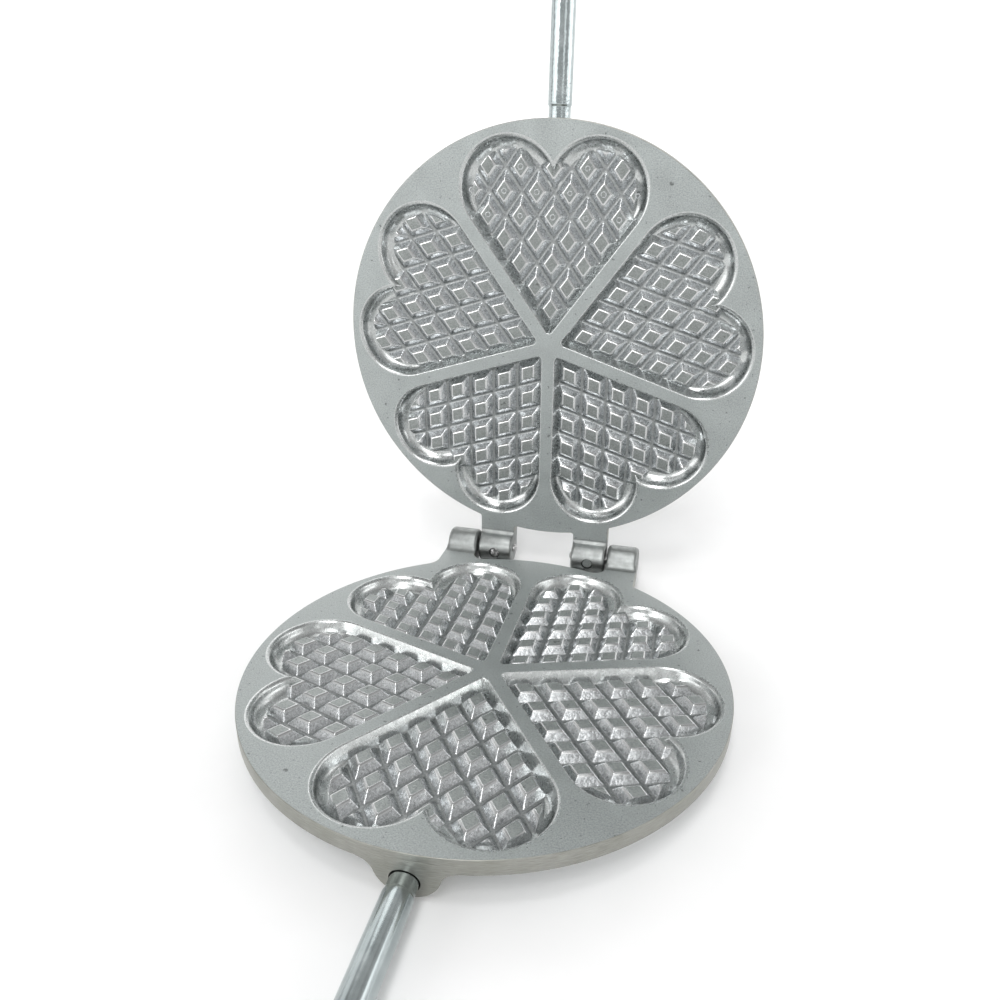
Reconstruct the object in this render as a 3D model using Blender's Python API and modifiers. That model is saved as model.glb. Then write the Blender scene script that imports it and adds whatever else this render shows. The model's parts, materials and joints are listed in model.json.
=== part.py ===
"""Five-heart pizzelle iron with two hinged plates, standing open on a table.

Metres, +Z up. Both plates are modelled in one plate frame: the parting face is z = 0 and faces +Z,
the handle points to -Y and the hinge lies at +Y. Empties then set the lower plate on the table and
turn the upper plate about the hinge axis to its open stop.
"""
import bmesh
import bpy
from math import acos, atan2, cos, pi, radians, sin, sqrt
from mathutils import Matrix, Vector

# Plate casting
PLATE_RADIUS = 0.1025
RIM_HEIGHT = 0.0065
RIM_CHAMFER = 0.0005
PLATE_THICKNESS = 0.0115
BACK_FLAT_INSET = 0.0145
PLATE_SEGMENTS = 96

# Heart pockets, one in each fifth of the plate
HEART_COUNT = 5
RIB_WIDTH = 0.0064
RIM_MARGIN = 0.0048
LOBE_RADIUS = 0.0226
LOBE_POINTS = 15
POCKET_DEPTH = 0.0062
POCKET_DRAFT = 0.0012
FIELD_GROOVE = 0.0020

# Studs of the waffle pattern, on a lattice parallel to the heart's straight sides
STUD_PITCH = 0.0132
STUD_HEIGHT = 0.0035
FIRST_STUD_DISTANCE = 0.0180
STUD_BASE_SHARE = 0.88
STUD_TOP_SHARE = 0.47
STUD_KEEP_SHARE = 0.40
STUD_ROWS = 8
STUD_ROOT_DEPTH = 0.0004

# Hinge
HINGE_SETBACK = 0.0125
CLOSED_GAP = 0.0004
OPEN_ANGLE = radians(87.5)
KNUCKLE_RADIUS = 0.0083
KNUCKLE_SEGMENTS = 28
LUG_EDGE_ROUND = 0.0012
LUG_ROOT = 0.0160
LUG_SIDE_GAP = 0.0009
UPPER_LUG_START = 0.0165
UPPER_LUG_WIDTH = 0.0186
LOWER_LUG_WIDTH = 0.0168
UPPER_LUG_FILLET = 0.0025
LOWER_LUG_FILLET = 0.0045
HINGE_PIN_RADIUS = 0.00225
HINGE_PIN_CLEARANCE = 0.0002
HINGE_PIN_NUB = 0.0015
HINGE_PIN_BLIND_WALL = 0.0025
HINGE_PIN_ROUND = 0.0006
LOCK_PIN_RADIUS = 0.0027
LOCK_PIN_CLEARANCE = 0.0003
LOCK_PIN_RECESS = 0.0010
STOP_TOE_WIDTH = 0.0070
STOP_TOE_HEIGHT = 0.0028
STOP_TOE_DROP = 0.0050

# Handles: swaged steel tubes in bored bosses under the rim
HANDLE_LENGTH = 0.3000
HANDLE_TILT = radians(3.6)
LOWER_HANDLE_SHIFT = -0.0006
TUBE_RADIUS = 0.00545
TUBE_WALL = 0.0011
NECK_REDUCTION = 0.0004
NECK_EXPOSED = 0.0038
NECK_SHOULDER = 0.0012
SOCKET_DEPTH = 0.0180
SOCKET_CLEARANCE = 0.0004
SOCKET_ROOF = 0.00135
BOSS_RADIUS = 0.0118
BOSS_WALL = 0.0019
BOSS_RAKE_SHARE = 0.12
BOSS_FILLET = 0.0060
BOSS_END_WALL = 0.0030
BOSS_RUNOUT = 0.0110
HANDLE_PIN_RADIUS = 0.0015
HANDLE_PIN_SETBACK = 0.0100
HANDLE_PIN_CLEARANCE = 0.0002
HANDLE_PIN_RECESS = 0.0005
PLUG_HEAD_RADIUS = 0.0061
PLUG_HEAD_LENGTH = 0.0060
PLUG_HEAD_ROUND = 0.0020
PLUG_STEM_LENGTH = 0.0120
PLUG_CLEARANCE = 0.0002

# Overrun of every cutter past the surface that it cuts
OVERRUN = 0.0010
ROUND_SEGMENTS = 32
PIN_SEGMENTS = 24

# Places worked out from the sizes above
HALF_SECTOR = pi / HEART_COUNT
HINGE_Y = PLATE_RADIUS + HINGE_SETBACK
HINGE_Z = CLOSED_GAP / 2
LOWER_LUG_START = UPPER_LUG_START + UPPER_LUG_WIDTH + LUG_SIDE_GAP
SOCKET_RADIUS = TUBE_RADIUS - NECK_REDUCTION + SOCKET_CLEARANCE
HANDLE_DEPTH = POCKET_DEPTH + SOCKET_ROOF + SOCKET_RADIUS
HANDLE_AIM = Vector((0, -cos(HANDLE_TILT), -sin(HANDLE_TILT)))
HANDLE_MOUTH = Vector((0, -PLATE_RADIUS, -HANDLE_DEPTH))
BOSS_DEPTH = HANDLE_DEPTH + SOCKET_RADIUS + BOSS_WALL
TUBE_LENGTH = SOCKET_DEPTH - SOCKET_CLEARANCE + HANDLE_LENGTH


for old in list(bpy.data.objects):
    bpy.data.objects.remove(old, do_unlink=True)


def new_collection(name):
    collection = bpy.data.collections.new(name)
    bpy.context.scene.collection.children.link(collection)
    return collection


PARTS = new_collection("pizzelle_iron")
CUTTERS = new_collection("cutters")


def material(name, colour, metallic, roughness):
    made = bpy.data.materials.new(name)
    made.use_nodes = True
    shader = made.node_tree.nodes["Principled BSDF"]
    shader.inputs["Base Color"].default_value = (*colour, 1.0)
    shader.inputs["Metallic"].default_value = metallic
    shader.inputs["Roughness"].default_value = roughness
    return made


MATERIALS = {
    "cast": material("cast_aluminium", (0.60, 0.62, 0.61), 1.0, 0.38),
    "tube": material("zinc_plated_tube", (0.66, 0.68, 0.70), 1.0, 0.22),
    "pin": material("steel_pin", (0.52, 0.54, 0.54), 1.0, 0.35),
    "plug": material("black_plug", (0.03, 0.03, 0.03), 0.0, 0.50),
}


def add_object(name, mesh, frame, finish=None):
    """Link a mesh as a part, or as a hidden cutter when it has no finish."""
    made = bpy.data.objects.new(name, mesh)
    made.parent = frame
    if finish:
        PARTS.objects.link(made)
        mesh.materials.append(MATERIALS[finish])
    else:
        CUTTERS.objects.link(made)
        made.hide_render = True
        made.display_type = "WIRE"
    return made


def mesh_from(shape, name):
    mesh = bpy.data.meshes.new(name)
    bmesh.ops.recalc_face_normals(shape, faces=shape.faces)
    shape.to_mesh(mesh)
    shape.free()
    return mesh


def boolean(target, operation, tool):
    cut = target.modifiers.new(operation.lower(), "BOOLEAN")
    cut.operation = operation
    cut.solver = "EXACT"
    cut.object = tool


def baked_mesh(source, name):
    """The evaluated mesh of an object, whose own modifiers are used up in it."""
    bpy.context.view_layer.update()
    graph = bpy.context.evaluated_depsgraph_get()
    mesh = bpy.data.meshes.new_from_object(source.evaluated_get(graph))
    mesh.name = name
    return mesh


def rod(name, radius, start, aim, length, frame, finish=None, segments=PIN_SEGMENTS):
    """A solid cylinder that starts at a point and runs along an aim."""
    shape = bmesh.new()
    bmesh.ops.create_cone(shape, cap_ends=True, segments=segments, radius1=radius, radius2=radius,
                          depth=length, matrix=Matrix.Translation((0, 0, length / 2)))
    made = add_object(name, mesh_from(shape, name), frame, finish)
    made.location = start
    made.rotation_euler = Vector(aim).to_track_quat("Z", "Y").to_euler()
    return made


def turned(name, profile, frame, segments, finish=None):
    """A closed solid from a radius and height profile that runs down its outer side."""
    mesh = bpy.data.meshes.new(name)
    count = len(profile)
    closed = profile[0][0] > 0
    edges = [(i, (i + 1) % count) for i in range(count if closed else count - 1)]
    mesh.from_pydata([(radius, 0, height) for radius, height in profile], edges, [])
    made = add_object(name, mesh, frame, finish)
    screw = made.modifiers.new("turn", "SCREW")
    screw.steps = segments
    screw.render_steps = segments
    screw.use_merge_vertices = True
    screw.merge_threshold = 0.00001
    return made


def outline_solid(name, outline, thickness):
    """A flat outline in XY, thickened evenly about its own plane."""
    curve = bpy.data.curves.new(name, "CURVE")
    curve.dimensions = "2D"
    curve.fill_mode = "BOTH"
    curve.extrude = thickness / 2
    spline = curve.splines.new("POLY")
    spline.points.add(len(outline) - 1)
    for point, (x, y) in zip(spline.points, outline):
        point.co = (x, y, 0, 1)
    spline.use_cyclic_u = True
    drawn = bpy.data.objects.new(name, curve)
    CUTTERS.objects.link(drawn)
    mesh = baked_mesh(drawn, name)
    bpy.data.objects.remove(drawn, do_unlink=True)
    shape = bmesh.new()
    shape.from_mesh(mesh)
    bmesh.ops.remove_doubles(shape, verts=shape.verts, dist=0.000001)
    bmesh.ops.dissolve_limit(shape, angle_limit=radians(1), verts=shape.verts, edges=shape.edges)
    return mesh_from(shape, name)


def lofted(name, rings):
    """A closed solid through rings of equal point count, capped at both ends."""
    shape = bmesh.new()
    loops = [[shape.verts.new(point) for point in ring] for ring in rings]
    count = len(rings[0])
    for low, high in zip(loops, loops[1:]):
        for i in range(count):
            j = (i + 1) % count
            shape.faces.new((low[i], low[j], high[j], high[i]))
    shape.faces.new(loops[0])
    shape.faces.new(loops[-1])
    return mesh_from(shape, name)


def arc(centre, radius, start, end, count):
    return [(centre[0] + radius * cos(start + (end - start) * i / count),
             centre[1] + radius * sin(start + (end - start) * i / count)) for i in range(count + 1)]


# Heart pockets and their studs, drawn with the tip at the plate's centre and the lobes along +Y
def lobe_centre():
    """Centre of the right lobe: it touches the straight side and the margin inside the rim."""
    across = RIB_WIDTH / 2 + LOBE_RADIUS
    along = sqrt((PLATE_RADIUS - RIM_MARGIN - LOBE_RADIUS) ** 2 - across ** 2)
    return (along * sin(HALF_SECTOR) - across * cos(HALF_SECTOR),
            along * cos(HALF_SECTOR) + across * sin(HALF_SECTOR))


def heart_outline(side_inset, lobe_inset):
    """A heart set in from the pocket's edge by one distance at the sides and one at the lobes."""
    x, y = lobe_centre()
    radius = LOBE_RADIUS - lobe_inset
    tip = (0, (RIB_WIDTH / 2 + side_inset) / sin(HALF_SECTOR))
    foot = LOBE_RADIUS - side_inset
    shoulder = (x + foot * cos(HALF_SECTOR), y - foot * sin(HALF_SECTOR))
    if radius > x:
        last = pi - acos(x / radius)
        cleft = []
    else:
        last = pi
        cleft = [(0, y - (x - radius))]
    side = arc((x, y), radius, -HALF_SECTOR, last, LOBE_POINTS)
    if foot - radius > OVERRUN / 10:
        side = [shoulder] + side
    if not cleft:
        cleft = [(0, side[-1][1])]
        side = side[:-1]
    mirrored = [(-px, py) for px, py in reversed(side)]
    return [tip] + side + cleft + mirrored


def stud_places():
    """Lattice places whose stud lies in the heart or reaches into a lobe."""
    x, y = lobe_centre()
    reach = LOBE_RADIUS - POCKET_DRAFT - FIELD_GROOVE + STUD_KEEP_SHARE * STUD_PITCH
    step = STUD_PITCH * cos(HALF_SECTOR)
    spread = STUD_PITCH * sin(HALF_SECTOR)
    for row in range(STUD_ROWS):
        for place in range(row + 1):
            u = (2 * place - row) * spread
            v = FIRST_STUD_DISTANCE + row * step
            beside_lobe = sqrt((abs(u) - x) ** 2 + (v - y) ** 2) < reach
            in_cleft = v > y and abs(u) < spread / 2
            if v < y or (beside_lobe and not in_cleft):
                yield u, v


def stud_field_mesh():
    """All studs of one heart, as four-sided pyramids with flat tops, rooted below the floor."""
    shape = bmesh.new()
    slope = (STUD_BASE_SHARE - STUD_TOP_SHARE) / STUD_HEIGHT
    root_share = STUD_BASE_SHARE + slope * STUD_ROOT_DEPTH
    height = STUD_HEIGHT + STUD_ROOT_DEPTH
    middle = height / 2 - STUD_ROOT_DEPTH - POCKET_DEPTH
    stretch = Matrix.Diagonal((sin(HALF_SECTOR), cos(HALF_SECTOR), 1, 1))
    for u, v in stud_places():
        bmesh.ops.create_cone(shape, cap_ends=True, segments=4,
                              radius1=root_share * STUD_PITCH, radius2=STUD_TOP_SHARE * STUD_PITCH,
                              depth=height, matrix=Matrix.Translation((u, v, middle)) @ stretch)
    return mesh_from(shape, "stud_field")


def pocket_mesh():
    """One heart pocket as a cutter: a drafted heart with its clipped studs taken out."""
    edge = heart_outline(0, 0)
    floor = heart_outline(POCKET_DRAFT, POCKET_DRAFT)
    rings = [[(x, y, -POCKET_DEPTH) for x, y in floor],
             [(x, y, 0) for x, y in edge],
             [(x, y, OVERRUN) for x, y in edge]]
    pocket = add_object("pocket_cutter", lofted("pocket_cutter", rings), None)
    studs = add_object("stud_field", stud_field_mesh(), None)
    field = heart_outline(POCKET_DRAFT, POCKET_DRAFT + FIELD_GROOVE)
    limit = add_object("field_limit", outline_solid("field_limit", field, 4 * POCKET_DEPTH), None)
    boolean(studs, "INTERSECT", limit)
    boolean(pocket, "DIFFERENCE", studs)
    return baked_mesh(pocket, "pocket")


def all_pockets_mesh():
    """The five pockets round the plate, the first one on the handle's side."""
    one = pocket_mesh()
    shape = bmesh.new()
    for index in range(HEART_COUNT):
        turned_copy = one.copy()
        turned_copy.transform(Matrix.Rotation(pi + 2 * HALF_SECTOR * index, 4, "Z"))
        shape.from_mesh(turned_copy)
    return mesh_from(shape, "pockets")


# Lugs, bosses and bores
def lug_outline(fillet):
    """Side view of a lug in Y and Z: a flat neck, a fillet and a round knuckle."""
    reach = KNUCKLE_RADIUS + fillet
    lift = fillet - HINGE_Z
    fillet_y = HINGE_Y - sqrt(reach ** 2 - lift ** 2)
    join = atan2(lift, fillet_y - HINGE_Y)
    hollow = arc((fillet_y, fillet), fillet, -pi / 2, join - pi, KNUCKLE_SEGMENTS // 5)
    knuckle = arc((HINGE_Y, HINGE_Z), KNUCKLE_RADIUS, join, -pi / 2, KNUCKLE_SEGMENTS)
    root = PLATE_RADIUS - LUG_ROOT
    return [(root, 0)] + hollow + knuckle[1:] + [(root, HINGE_Z - KNUCKLE_RADIUS)]


def add_lug(plate, start, width, fillet, side, frame):
    mesh = outline_solid("lug", lug_outline(fillet), width)
    turn = Matrix(((0, 0, 1, 0), (1, 0, 0, 0), (0, 1, 0, 0), (0, 0, 0, 1)))
    mesh.transform(Matrix.Translation((side * (start + width / 2), 0, 0)) @ turn)
    lug = add_object("lug_tool", mesh, frame)
    rounding = lug.modifiers.new("round", "BEVEL")
    rounding.width = LUG_EDGE_ROUND
    rounding.segments = 2
    rounding.limit_method = "ANGLE"
    rounding.angle_limit = radians(50)
    boolean(plate, "UNION", lug)


def boss_ring(y, bottom):
    """Front view of the handle boss at one depth: a round nose with hollow flanks."""
    centre = (0, BOSS_RADIUS - bottom)
    fillet_z = -RIM_HEIGHT - BOSS_FILLET
    reach = BOSS_RADIUS + BOSS_FILLET
    fillet_x = sqrt(reach ** 2 - (centre[1] - fillet_z) ** 2)
    join = atan2(fillet_z - centre[1], fillet_x)
    flank = arc((fillet_x, fillet_z), BOSS_FILLET, pi / 2, join + pi, 6)
    nose = arc(centre, BOSS_RADIUS, join, -pi / 2, 8)
    half = [(fillet_x, -RIM_HEIGHT / 2)] + flank + nose[1:-1]
    outline = half + [nose[-1]] + [(-x, z) for x, z in reversed(half)]
    return [(x, y, z) for x, z in outline]


def add_boss(plate, frame):
    """The handle boss; its front carries on the rim and rakes back below it."""
    front = -PLATE_RADIUS - OVERRUN
    full = -PLATE_RADIUS + SOCKET_DEPTH + BOSS_END_WALL
    rings = [boss_ring(front, BOSS_DEPTH), boss_ring(full, BOSS_DEPTH),
             boss_ring(full + BOSS_RUNOUT, PLATE_THICKNESS - RIM_CHAMFER)]
    boss = add_object("boss_tool", lofted("boss_tool", rings), frame)
    raked = PLATE_RADIUS - BOSS_RAKE_SHARE * (BOSS_DEPTH - RIM_HEIGHT + OVERRUN)
    low = -BOSS_DEPTH - OVERRUN
    profile = [(0, 0), (PLATE_RADIUS, 0), (PLATE_RADIUS, -RIM_HEIGHT), (raked, low), (0, low)]
    boolean(boss, "INTERSECT", turned("boss_trim", profile, frame, PLATE_SEGMENTS))
    boolean(plate, "UNION", boss)


def handle_pin_top():
    """Inner end of the handle pin, on the axis of the tube whose lower wall it crosses."""
    return -HANDLE_DEPTH + HANDLE_PIN_SETBACK * sin(HANDLE_TILT)


def handle_pin_y():
    return -PLATE_RADIUS + HANDLE_PIN_SETBACK


def cut_handle_bores(plate, frame):
    start = HANDLE_MOUTH - HANDLE_AIM * SOCKET_DEPTH
    bore = rod("socket_bore", SOCKET_RADIUS, start, HANDLE_AIM, SOCKET_DEPTH + OVERRUN * 2, frame,
               segments=ROUND_SEGMENTS)
    boolean(plate, "DIFFERENCE", bore)
    low = -BOSS_DEPTH - OVERRUN
    pin = rod("handle_pin_bore", HANDLE_PIN_RADIUS + HANDLE_PIN_CLEARANCE, (0, handle_pin_y(), low),
              (0, 0, 1), handle_pin_top() - low, frame)
    boolean(plate, "DIFFERENCE", pin)


def plate_body(name, frame):
    """A turned disc with a straight rim, a coned edge and a flat back, with its handle boss."""
    back_radius = PLATE_RADIUS - BACK_FLAT_INSET
    profile = [(0, 0), (PLATE_RADIUS - RIM_CHAMFER, 0), (PLATE_RADIUS, -RIM_CHAMFER),
               (PLATE_RADIUS, -RIM_HEIGHT), (back_radius, -PLATE_THICKNESS), (0, -PLATE_THICKNESS)]
    plate = turned(name, profile, frame, PLATE_SEGMENTS, "cast")
    add_boss(plate, frame)
    return plate


def finish_plate(plate, pockets, handle_frame):
    boolean(plate, "DIFFERENCE", pockets)
    cut_handle_bores(plate, handle_frame)


def shade(part):
    part.data.shade_smooth()
    part.data.set_sharp_from_angle(angle=radians(30))


def lower_plate(frame, handle_frame, pockets):
    plate = plate_body("lower_plate", frame)
    for side in (-1, 1):
        add_lug(plate, LOWER_LUG_START, LOWER_LUG_WIDTH, LOWER_LUG_FILLET, side, frame)
    finish_plate(plate, pockets, handle_frame)
    for side in (-1, 1):
        near = side * (LOWER_LUG_START - LUG_SIDE_GAP)
        depth = LUG_SIDE_GAP + LOWER_LUG_WIDTH - HINGE_PIN_BLIND_WALL
        bore = rod("hinge_bore", HINGE_PIN_RADIUS + HINGE_PIN_CLEARANCE, (near, HINGE_Y, HINGE_Z),
                   (side, 0, 0), depth, frame)
        boolean(plate, "DIFFERENCE", bore)
    return plate


def add_stop_toe(plate, side, frame):
    """A toe on the upper knuckle that meets the lower plate's rim and ends the opening.

    It is placed in the plate frame of the lower plate at the open stop, then carried back into the
    upper plate's own frame.
    """
    inner = UPPER_LUG_START + LUG_EDGE_ROUND
    face = sqrt(PLATE_RADIUS ** 2 - inner ** 2) + CLOSED_GAP
    length = HINGE_Y - face - KNUCKLE_RADIUS / 2
    shape = bmesh.new()
    bmesh.ops.create_cube(shape, size=1, matrix=Matrix.Diagonal(
        (STOP_TOE_WIDTH, length, STOP_TOE_HEIGHT, 1)))
    toe = add_object("stop_toe_tool", mesh_from(shape, "stop_toe_tool"), frame)
    middle = Vector((side * (inner + STOP_TOE_WIDTH / 2), face + length / 2,
                     -STOP_TOE_DROP))
    opened = open_transform()
    toe.data.transform(opened.inverted() @ Matrix.Translation(middle))
    boolean(plate, "UNION", toe)


def open_transform():
    """From the upper plate's frame to the lower plate's frame at the open stop."""
    axis = Matrix.Translation((0, HINGE_Y, HINGE_Z))
    over = Matrix.Rotation(pi, 4, "Y")
    swing = Matrix.Rotation(-OPEN_ANGLE, 4, "X")
    return axis @ swing @ over @ axis.inverted()


def upper_plate(frame, handle_frame, pockets):
    plate = plate_body("upper_plate", frame)
    for side in (-1, 1):
        add_lug(plate, UPPER_LUG_START, UPPER_LUG_WIDTH, UPPER_LUG_FILLET, side, frame)
        add_stop_toe(plate, side, frame)
    finish_plate(plate, pockets, handle_frame)
    for side in (-1, 1):
        start = side * (UPPER_LUG_START - OVERRUN)
        bore = rod("hinge_bore", HINGE_PIN_RADIUS + HINGE_PIN_CLEARANCE, (start, HINGE_Y, HINGE_Z),
                   (side, 0, 0), UPPER_LUG_WIDTH + 2 * OVERRUN, frame)
        boolean(plate, "DIFFERENCE", bore)
        hole = rod("lock_bore", LOCK_PIN_RADIUS + LOCK_PIN_CLEARANCE, lock_pin_foot(side, 0),
                   (0, 0, 1), KNUCKLE_RADIUS, frame)
        boolean(plate, "DIFFERENCE", hole)
    return plate


# Pins, tubes and plugs
def lock_pin_foot(side, lift):
    middle = UPPER_LUG_START + UPPER_LUG_WIDTH / 2
    return Vector((side * middle, HINGE_Y, HINGE_Z + HINGE_PIN_RADIUS + lift))


def hinge_pin(name, side, frame):
    """A pin through the upper lug into the blind bore of the lower lug, its inner end proud."""
    start = UPPER_LUG_START - HINGE_PIN_NUB
    end = LOWER_LUG_START + LOWER_LUG_WIDTH - HINGE_PIN_BLIND_WALL - HINGE_PIN_CLEARANCE
    pin = rod(name, HINGE_PIN_RADIUS, (side * start, 0, 0), (side, 0, 0), end - start, frame, "pin")
    rounding = pin.modifiers.new("round", "BEVEL")
    rounding.width = HINGE_PIN_ROUND
    rounding.segments = 2
    rounding.limit_method = "ANGLE"
    rounding.angle_limit = radians(50)
    shade(pin)


def lock_pin(name, side, frame):
    foot = lock_pin_foot(side, LOCK_PIN_CLEARANCE)
    top = HINGE_Z + KNUCKLE_RADIUS - LOCK_PIN_RECESS
    shade(rod(name, LOCK_PIN_RADIUS, foot, (0, 0, 1), top - foot.z, frame, "pin"))


def handle_tube(name, frame):
    """A steel tube, swaged to a narrower neck where it enters the boss."""
    neck = TUBE_RADIUS - NECK_REDUCTION
    neck_end = SOCKET_DEPTH + NECK_EXPOSED
    body_start = neck_end + NECK_SHOULDER
    profile = [(neck, 0), (neck - TUBE_WALL, 0), (neck - TUBE_WALL, neck_end),
               (TUBE_RADIUS - TUBE_WALL, body_start), (TUBE_RADIUS - TUBE_WALL, TUBE_LENGTH),
               (TUBE_RADIUS, TUBE_LENGTH), (TUBE_RADIUS, body_start), (neck, neck_end)]
    tube = turned(name, list(reversed(profile)), frame, ROUND_SEGMENTS, "tube")
    set_on_handle_axis(tube, 0)
    low = -BOSS_DEPTH
    hole = rod("tube_pin_bore", HANDLE_PIN_RADIUS + HANDLE_PIN_CLEARANCE, (0, handle_pin_y(), low),
               (0, 0, 1), handle_pin_top() - low, frame)
    boolean(tube, "DIFFERENCE", hole)
    shade(tube)


def set_on_handle_axis(part, distance):
    """Stand a part's own +Z along the handle, a distance from the tube's inner end."""
    part.location = HANDLE_MOUTH - HANDLE_AIM * (SOCKET_DEPTH - SOCKET_CLEARANCE - distance)
    part.rotation_euler = (pi / 2 + HANDLE_TILT, 0, 0)


def handle_pin(name, frame):
    low = -BOSS_DEPTH + HANDLE_PIN_RECESS
    length = handle_pin_top() - HANDLE_PIN_CLEARANCE - low
    shade(rod(name, HANDLE_PIN_RADIUS, (0, handle_pin_y(), low), (0, 0, 1), length, frame, "pin"))


def handle_plug(name, frame):
    """A rounded end plug whose stem stands in the tube's open end."""
    stem = TUBE_RADIUS - TUBE_WALL - PLUG_CLEARANCE
    head = PLUG_HEAD_RADIUS
    rounded = arc((head - PLUG_HEAD_ROUND, PLUG_HEAD_LENGTH - PLUG_HEAD_ROUND), PLUG_HEAD_ROUND,
                  pi / 2, 0, 5)
    profile = [(0, PLUG_HEAD_LENGTH)] + rounded + [(head, PLUG_CLEARANCE), (stem, PLUG_CLEARANCE),
                                                   (stem, -PLUG_STEM_LENGTH), (0, -PLUG_STEM_LENGTH)]
    plug = turned(name, profile, frame, ROUND_SEGMENTS, "plug")
    set_on_handle_axis(plug, TUBE_LENGTH)
    shade(plug)


def handle(prefix, frame):
    handle_tube(prefix + "_handle_tube", frame)
    handle_pin(prefix + "_handle_pin", frame)
    handle_plug(prefix + "_handle_plug", frame)


# Frames: the table, the lower plate on it, the hinge axis and the upper plate
def add_empty(name, parent, location, rotation):
    made = bpy.data.objects.new(name, None)
    CUTTERS.objects.link(made)
    made.parent = parent
    made.location = location
    made.rotation_euler = rotation
    return made


def resting_pitch():
    """The lower plate's pitch when its back edge and the lower handle's end share a table top."""
    end = HANDLE_MOUTH + HANDLE_AIM * (HANDLE_LENGTH + PLUG_HEAD_LENGTH / 2)
    end_bottom = -end.z + PLUG_HEAD_RADIUS
    back_radius = PLATE_RADIUS - BACK_FLAT_INSET
    return atan2(end_bottom - PLATE_THICKNESS, back_radius - end.y)


def lowest_corner_and_middle():
    """Lowest Z, and the middle of the box in X and Y, of every part as it stands."""
    bpy.context.view_layer.update()
    graph = bpy.context.evaluated_depsgraph_get()
    corners = []
    for part in PARTS.objects:
        solid = part.evaluated_get(graph)
        corners += [solid.matrix_world @ vertex.co for vertex in solid.data.vertices]
    lows = [min(corner[axis] for corner in corners) for axis in range(3)]
    highs = [max(corner[axis] for corner in corners) for axis in range(3)]
    return (lows[0] + highs[0]) / 2, (lows[1] + highs[1]) / 2, lows[2]


def build():
    base = add_empty("table_frame", None, (0, 0, 0), (0, 0, 0))
    lower = add_empty("lower_frame", base, (0, 0, 0), (-resting_pitch(), 0, 0))
    hinge = add_empty("hinge_axis", lower, (0, HINGE_Y, HINGE_Z), (-OPEN_ANGLE, 0, 0))
    upper = add_empty("upper_frame", hinge, (0, -HINGE_Y, HINGE_Z), (0, pi, 0))
    lower_grip = add_empty("lower_handle_frame", lower, (LOWER_HANDLE_SHIFT, 0, 0), (0, 0, 0))
    pocket_shape = all_pockets_mesh()
    lower_plate(lower, lower_grip, add_object("lower_pockets", pocket_shape, lower))
    upper_plate(upper, upper, add_object("upper_pockets", pocket_shape, upper))
    handle("lower", lower_grip)
    handle("upper", upper)
    for side, word in ((-1, "left"), (1, "right")):
        hinge_pin("hinge_pin_" + word, side, hinge)
        lock_pin("hinge_lock_pin_" + word, -side, upper)
    middle_x, middle_y, low = lowest_corner_and_middle()
    base.location = (-middle_x, -middle_y, -low)


build()
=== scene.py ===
import json
import random
from math import atan2, cos, pi, radians, sin, sqrt

import bmesh
import bpy
from mathutils import Matrix, Vector


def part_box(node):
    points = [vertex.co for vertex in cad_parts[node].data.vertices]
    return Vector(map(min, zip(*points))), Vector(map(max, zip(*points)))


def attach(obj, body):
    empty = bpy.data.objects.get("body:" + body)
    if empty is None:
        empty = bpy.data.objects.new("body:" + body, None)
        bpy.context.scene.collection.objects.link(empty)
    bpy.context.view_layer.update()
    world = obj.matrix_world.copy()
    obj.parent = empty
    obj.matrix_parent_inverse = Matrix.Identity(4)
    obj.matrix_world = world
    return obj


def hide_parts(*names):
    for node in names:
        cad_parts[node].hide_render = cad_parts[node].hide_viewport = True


# Lengths are in millimetres times MM. Both plates are built in one plate frame: the parting face is
# z = 0 and faces +Z, the handle points to -Y and the hinge lies at +Y.
MM = 0.001
SEED = 7
OVERRUN = 1.0 * MM

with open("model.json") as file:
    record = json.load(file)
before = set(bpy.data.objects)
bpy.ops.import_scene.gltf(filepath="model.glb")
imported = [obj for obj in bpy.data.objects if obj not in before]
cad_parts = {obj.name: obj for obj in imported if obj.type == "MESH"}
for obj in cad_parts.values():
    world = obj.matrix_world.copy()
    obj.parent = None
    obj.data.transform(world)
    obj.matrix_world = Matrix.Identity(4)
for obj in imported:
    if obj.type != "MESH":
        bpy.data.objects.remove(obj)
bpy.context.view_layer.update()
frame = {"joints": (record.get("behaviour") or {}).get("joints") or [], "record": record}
JOINT = frame["joints"][0]
MOUNTS = {mount["name"]: mount for mount in frame["record"]["mounts"]}

# Plate
PLATE_RADIUS = (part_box("lower_plate")[1].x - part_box("lower_plate")[0].x) / 2
RIM_HEIGHT = 6.6 * MM
RIM_EDGE = 0.25 * MM
RIM_EDGE_STEPS = 4
RIM_STREAK_SHARE = 0.06
RIM_FOOT_SHARES = ((0, 1), (0.15, 0.4), (0.6, 0))
FACE_MARGIN = 0.2 * MM
BACK_DEPTH = 11.5 * MM
BACK_RADIUS = 88.0 * MM
BACK_EDGE = 1.6 * MM
BACK_CONE_ANGLE = radians(70)
BACK_GROOVE = 0.25 * MM
BACK_STEPS = 5
BACK_CENTRE_RADIUS = 7.0 * MM
BACK_RING_RADIUS = 60.0 * MM
PLATE_STEPS = 256
FRONT_STEPS = 150
REAR_STEPS = 24

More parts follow.
